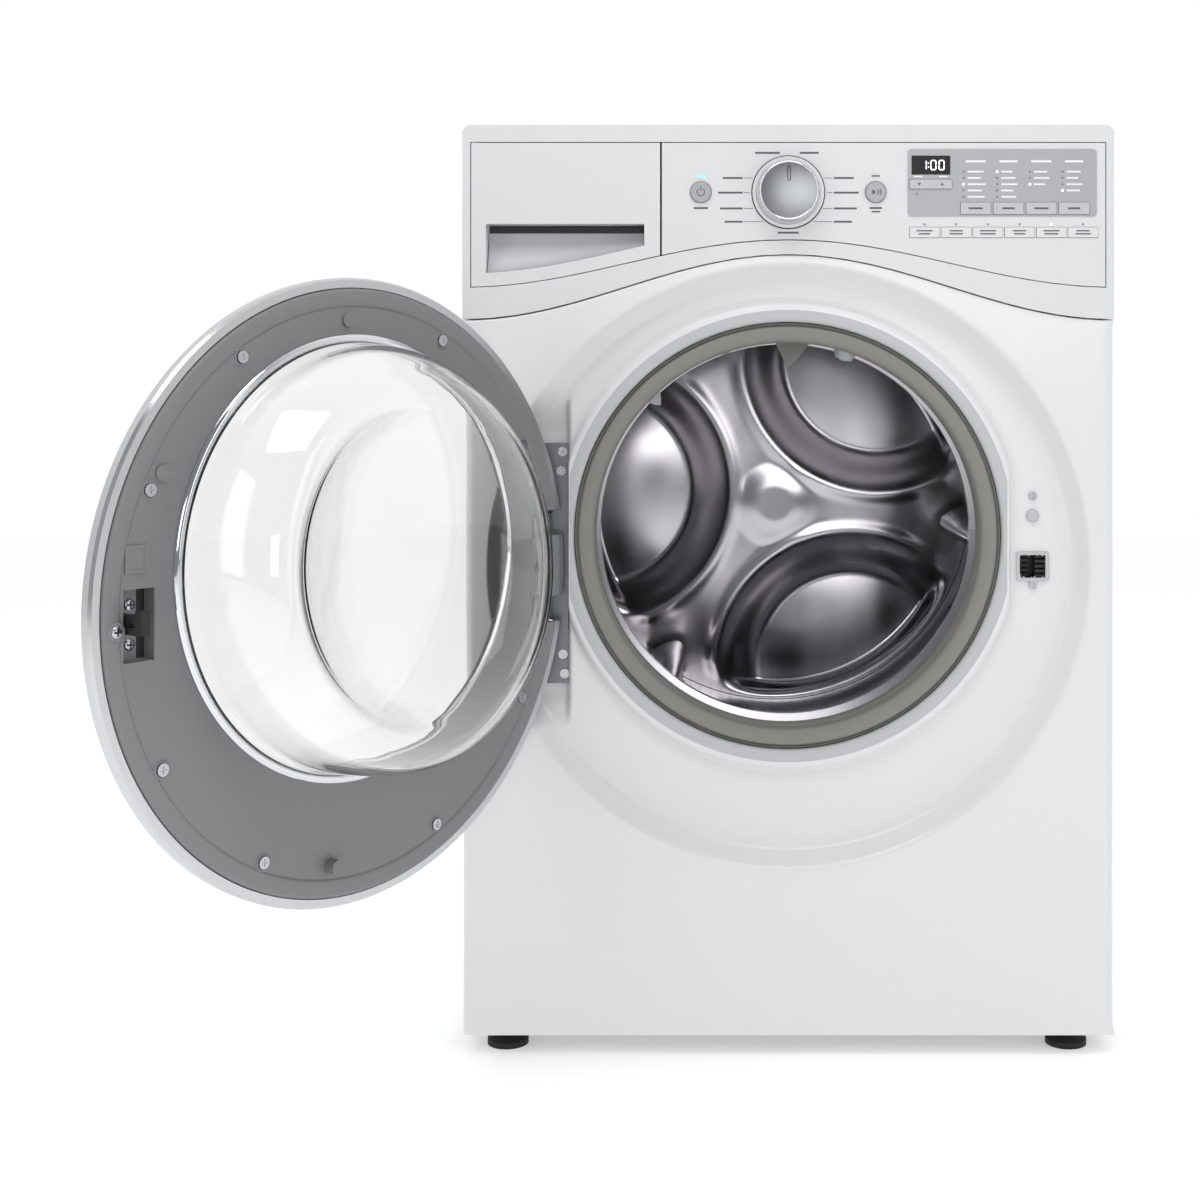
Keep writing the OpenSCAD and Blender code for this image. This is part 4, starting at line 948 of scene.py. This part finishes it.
# %% Display
OVERLAY = 125.6
SCREEN = np.array([OVERLAY + 24.4, 938.5])
tiles("display_window", [box_line(*SCREEN, 40.8, 20, 1)], 0.75, 1.0, display_glass(), "cabinet")
SEGMENTS = {"0": "abcdef", "1": "bc"}
bar_w, bar_h, thick = 4.6, 4.8, 1.15
bar_x, bar_z, upright = bar_w / 2 + 0.3, bar_h / 2, bar_h - 0.9
place = {"a": (0, bar_h, bar_w, thick), "d": (0, -bar_h, bar_w, thick),
         "b": (bar_x, bar_z, thick, upright), "f": (-bar_x, bar_z, thick, upright),
         "c": (bar_x, -bar_z, thick, upright), "e": (-bar_x, -bar_z, thick, upright)}
digit_at = {-7.5: "1", 2.6: "0", 11.2: "0"}
bars = [box_line(SCREEN[0] + x + place[s][0], SCREEN[1] + place[s][1], place[s][2], place[s][3])
        for x, digit in digit_at.items() for s in SEGMENTS[digit]]
bars += [box_line(SCREEN[0] - 2.6, SCREEN[1] + dz, 1.2, 1.2) for dz in (-2, 2)]
tiles("display_digits", bars, 1.0, 1.12, lit_white, "cabinet")
print("display shows a time made of", len(bars), "bars")

# %% Lamps and printed bars over the keys
LAMP_X = OVERLAY + np.array([58.7, 94.0, 128.5, 162.8])
LAMP_ROWS = (5, 5, 3, 4)
LIT_ROW = (2, 0, 2, 3)
rows_z = [np.linspace(931.6, 905.2, 5)[:n] for n in LAMP_ROWS]
off = [disc_line(x, z, 1.15) for x, zs, lit in zip(LAMP_X, rows_z, LIT_ROW)
       for k, z in enumerate(zs) if k != lit]
on = [disc_line(x, zs[lit], 1.3) for x, zs, lit in zip(LAMP_X, rows_z, LIT_ROW)]
OPTION_X = OVERLAY + 17.6 + 33.36 * np.arange(6)
off += [disc_line(x, 876.4, 1.0) for x in np.delete(OPTION_X, 4)] + [disc_line(OVERLAY + 9.4, 908.3, 1.1)]
on += [disc_line(OPTION_X[4], 876.4, 1.15)]
tiles("lamps_off", off, 0.7, 0.95, unlit, "cabinet")
tiles("lamps_on", on, 0.7, 1.0, lit_white, "cabinet")
WORD_WIDTHS = ((17, 14, 19, 15, 18), (12, 15, 17, 13, 16), (14, 16, 12), (15, 12, 17, 14))
MODIFIER_X = OVERLAY + 71.4 + 34.5 * np.arange(4)
words = [box_line(x + 4.2 + w / 2, z, w, 1.7) for x, zs, ws in zip(LAMP_X, rows_z, WORD_WIDTHS)
         for z, w in zip(zs, ws)]
words += [box_line(x, 942.5, 21 - 2 * (i % 2), 2.2) for i, x in enumerate(MODIFIER_X)]
words += [box_line(OVERLAY + 24.2 + dx, 926.6, 9, 1.5) for dx in (-13, 13)]
tiles("overlay_printing", words, 0.7, 0.9, pale_ink, "cabinet")
for i, x in enumerate(MODIFIER_X):
    label = [box_line(x, 893, 15 - 2 * (i % 2), 1.9)]
    tiles(f"modifier_label_{i + 1}", label, 1.5, 1.72, dark_ink, f"modifier_{i + 1}")
for i, x in enumerate(OPTION_X):
    label = [box_line(x, 869.4, 17 - 3 * (i % 2), 1.4), box_line(x, 866.2, 12 + 2 * (i % 3), 1.4)]
    tiles(f"option_label_{i + 1}", label, 0.9, 1.12, dark_ink, f"option_{i + 1}")
arrow = np.array([[-1.8, -1.3], [1.8, -1.3], [0, 1.8]])
arrows = [arrow * (1, s) + (OVERLAY + 24.2 + s * 12, 918.4) for s in (-1, 1)]
tiles("rocker_arrows", arrows, 1.95, 2.15, dark_ink, "rocker")
print("lamps:", len(on), "lit,", len(off), "dark")

# %% Dial marks and button symbols
KX, KZ = KNOB[0] / MM, KNOB[2] / MM
dial_z = np.array([925.0, 909.6, 893.0, 879.0])
dial_words = [box_line(s * (48 + w / 2), z, w, 2.0) for s in (-1, 1)
              for z, w in zip(dial_z, (21, 26, 24, 19))]
dial_words += [box_line(0, 867.5, 22, 2.0), box_line(-22, 951.5, 26, 2.0), box_line(22, 951.5, 20, 2.0)]
tiles("dial_words", dial_words, -0.2, 0.14, dark_ink, "cabinet")
LEADER_OUT = 46.4
leader_in = np.sqrt(40.5 ** 2 - (dial_z - KZ) ** 2)
leaders = [box_line(s * (start / 2 + LEADER_OUT / 2), z, LEADER_OUT - start, 0.6) for s in (-1, 1)
           for z, start in zip(dial_z, leader_in)]
tiles("dial_leaders", leaders, -0.2, 0.14, dark_ink, "cabinet")
knob_side = smooth_line([[1, 1], [30, 1], [32.4, 1], [33.2, 1.2], [33.7, 2.4], [33.4, 8], [32.7, 14],
                         [31.9, 18.5], [31, 21.3], [30.1, 22.3], [29.3, 22.2], [28.8, 21.6], [28, 21.2],
                         [1, 21.2]], 4)
ring("knob_body", knob_side, KX * MM, KZ * MM, finishes["chrome"], "knob", replaces=("program_knob",),
     slot="silver_trim", segments=120)
face_r = np.linspace(0, 29.0, 24)
knob_face = turned(np.stack([face_r, 21.7 + 1.5 * (1 - (face_r / 29) ** 2)], -1), KX * MM, KZ * MM, 96)
new_piece("knob_face", knob_face, grid_faces(24, 96, wrap_cols=True), brushed_face(), "knob",
          slot="silver_trim")
frame_ring("knob_pointer", box_line(KX, KZ + 17.5, 3.6, 16, 1.7), box_line(KX, KZ + 17.5, 2.0, 14.4, 0.9),
           21.6, 23.4, 0.2, "black_plastic", "knob")
bezel = smooth_line([[35.2, 0.0], [35.4, 1.5], [36.9, 2.1], [38.4, 1.3], [38.9, 0.0]], 4)
ring("dial_bezel", bezel, KX * MM, KZ * MM, "black_plastic", "cabinet", segments=120)
BUTTON_X = 92
tiles("power_lamp", [box_line(-BUTTON_X, 927.2, 9, 1.9, 0.8)], -0.2, 0.25, lit_blue, "cabinet")
tiles("start_lamp", [box_line(BUTTON_X, 927.2, 9, 1.9, 0.8)], -0.2, 0.25, unlit, "cabinet")
button_words = [box_line(-BUTTON_X, 893.4, 15, 2), box_line(BUTTON_X, 893.4, 13, 2),
                box_line(BUTTON_X, 889.6, 9, 1.6)]
tiles("button_words", button_words, -0.2, 0.14, dark_ink, "cabinet")
print("dial has", len(leaders), "leader lines")


# %% Symbols on the two round buttons
def arc_band(x, z, r, w, start, sweep, n=30):
    """The outline of a band of width w along an arc: out along r + w / 2 and back along r - w / 2."""
    a = np.radians(np.linspace(start, start + sweep, n))
    out = np.stack([x + (r + w / 2) * np.cos(a), z + (r + w / 2) * np.sin(a)], -1)
    back = np.stack([x + (r - w / 2) * np.cos(a), z + (r - w / 2) * np.sin(a)], -1)[::-1]
    return np.vstack([out, back])


power_sign = [arc_band(-BUTTON_X, KZ, 4.0, 0.9, 125, 290), box_line(-BUTTON_X, KZ + 3.6, 0.9, 4.6)]
tiles("power_symbol", power_sign, 2.7, 2.95, dark_ink, "power")
tiles("start_symbol", [np.array([[88.2, KZ - 3], [88.2, KZ + 3], [92.4, KZ]]), box_line(94.4, KZ, 1.2, 5.6),
                       box_line(97.0, KZ, 1.2, 5.6)], 2.7, 2.95, dark_ink, "start")
print("symbols on both buttons")

# %% [markdown]
# ## The drawer's finger scoop
# Fingers hook up behind the drawer's top edge, so the scoop is open and shadowed at its top, and its floor
# runs out to the face in a soft ramp. The ramp is a surface whose depth falls as a root of its height,
# coloured pale grey as painted shade, and a black wall of painted shadow closes the hollow above it.

# %% Scoop ramp and its painted dark back
SCOOP_X = (-317.5, -152.5)
scoop_x = np.linspace(*SCOOP_X, 60)[None]
scoop_s = np.linspace(0, 1, 24)[:, None]
brow = 859.5 - 25 * (1 - np.cos(np.pi * scoop_x / (HALF_W / MM)))
ramp_z = brow + 15.3 + (868.5 - brow - 15.3) * scoop_s
ramp_t = -0.8 - 22.5 * scoop_s ** 0.5 + 0 * scoop_x
ramp_points = np.stack([scoop_x * MM + 0 * ramp_t, at(ramp_t), ramp_z * MM], -1)
# The ramp takes the pale grey finish, which paints the shade that falls inside the scoop.
new_piece("scoop_ramp", ramp_points, grid_faces(24, 60), "light_grey_plastic", "drawer")
# The black tile behind the ramp is painted shadow of the hollow above it.
back_line = np.vstack([np.stack([scoop_x[0], brow[0] + 17], -1), [[SCOOP_X[1], 876.6], [SCOOP_X[0], 876.6]]])
tiles("scoop_painted_shade", [back_line], -25.4, -24.6, "black_plastic", "drawer")
print("scoop ramp of", ramp_points.shape[0] * ramp_points.shape[1], "points")

# %% [markdown]
# ## Floor and light
# A pale floor fades into a white surround. Tall soft boxes light the front from both sides, a wide one
# hangs above, and the surround fills the shadows. The surround is greyer on the viewer's side, as a room is,
# because chrome and glass only show their form when they have something darker to mirror.

# %% Floor, surround and lamps
floor_points = np.array([[-6, -6, 0], [6, -6, 0], [6, 6, 0], [-6, 6, 0]], float)
floor_finish = finish("studio_floor", "#F4F4F4", 0.6, Emission_Color=colour("#FFFFFF"),
                      Emission_Strength=0.3)
floor = new_piece("studio_floor", floor_points, [[0, 1, 2, 3]], floor_finish, None)
world = bpy.data.worlds.new("studio")
bpy.context.scene.world = world
world.use_nodes = True
way = add(world.node_tree, "SeparateXYZ", {0: add(world.node_tree, "TexCoord").outputs["Generated"]}).outputs
behind = add(world.node_tree, "MapRange", {"Value": way[1], "From Min": -0.45, "From Max": 0.2}).outputs[0]
shade = add(world.node_tree, "Mix", {0: behind, 6: colour("#8C8E90"), 7: colour("#FFFFFF")}, data_type="RGBA")
world.node_tree.links.new(shade.outputs[2], world.node_tree.nodes["Background"].inputs["Color"])
world.node_tree.nodes["Background"].inputs["Strength"].default_value = 1.0
bpy.context.scene.view_settings.view_transform = "Standard"


def soft_box(name, place, target, width, height, power):
    """A rectangular area lamp at place that looks at target."""
    lamp_data = bpy.data.lights.new(name, "AREA")
    lamp_data.shape, lamp_data.size, lamp_data.size_y, lamp_data.energy = "RECTANGLE", width, height, power
    lamp_object = bpy.data.objects.new(name, lamp_data)
    bpy.context.scene.collection.objects.link(lamp_object)
    lamp_object.location = place
    away = np.array(place) - np.array(target)
    tilt = np.arctan2(np.hypot(away[0], away[1]), away[2])
    lamp_object.rotation_euler = (tilt, 0, np.arctan2(away[0], -away[1]))


soft_box("left_box", (-2.4, -2.3, 1.5), (0, FRONT, 0.6), 1.0, 2.2, 13)
soft_box("right_box", (2.5, -2.0, 1.4), (0, FRONT, 0.6), 0.8, 2.2, 8)
soft_box("top_box", (-0.2, -1.5, 2.7), (0, FRONT, 0.6), 2.2, 0.9, 24)
soft_box("front_box", (0.5, -4.4, 1.3), (0, FRONT, 0.6), 1.5, 1.1, 17)
print("four soft boxes")
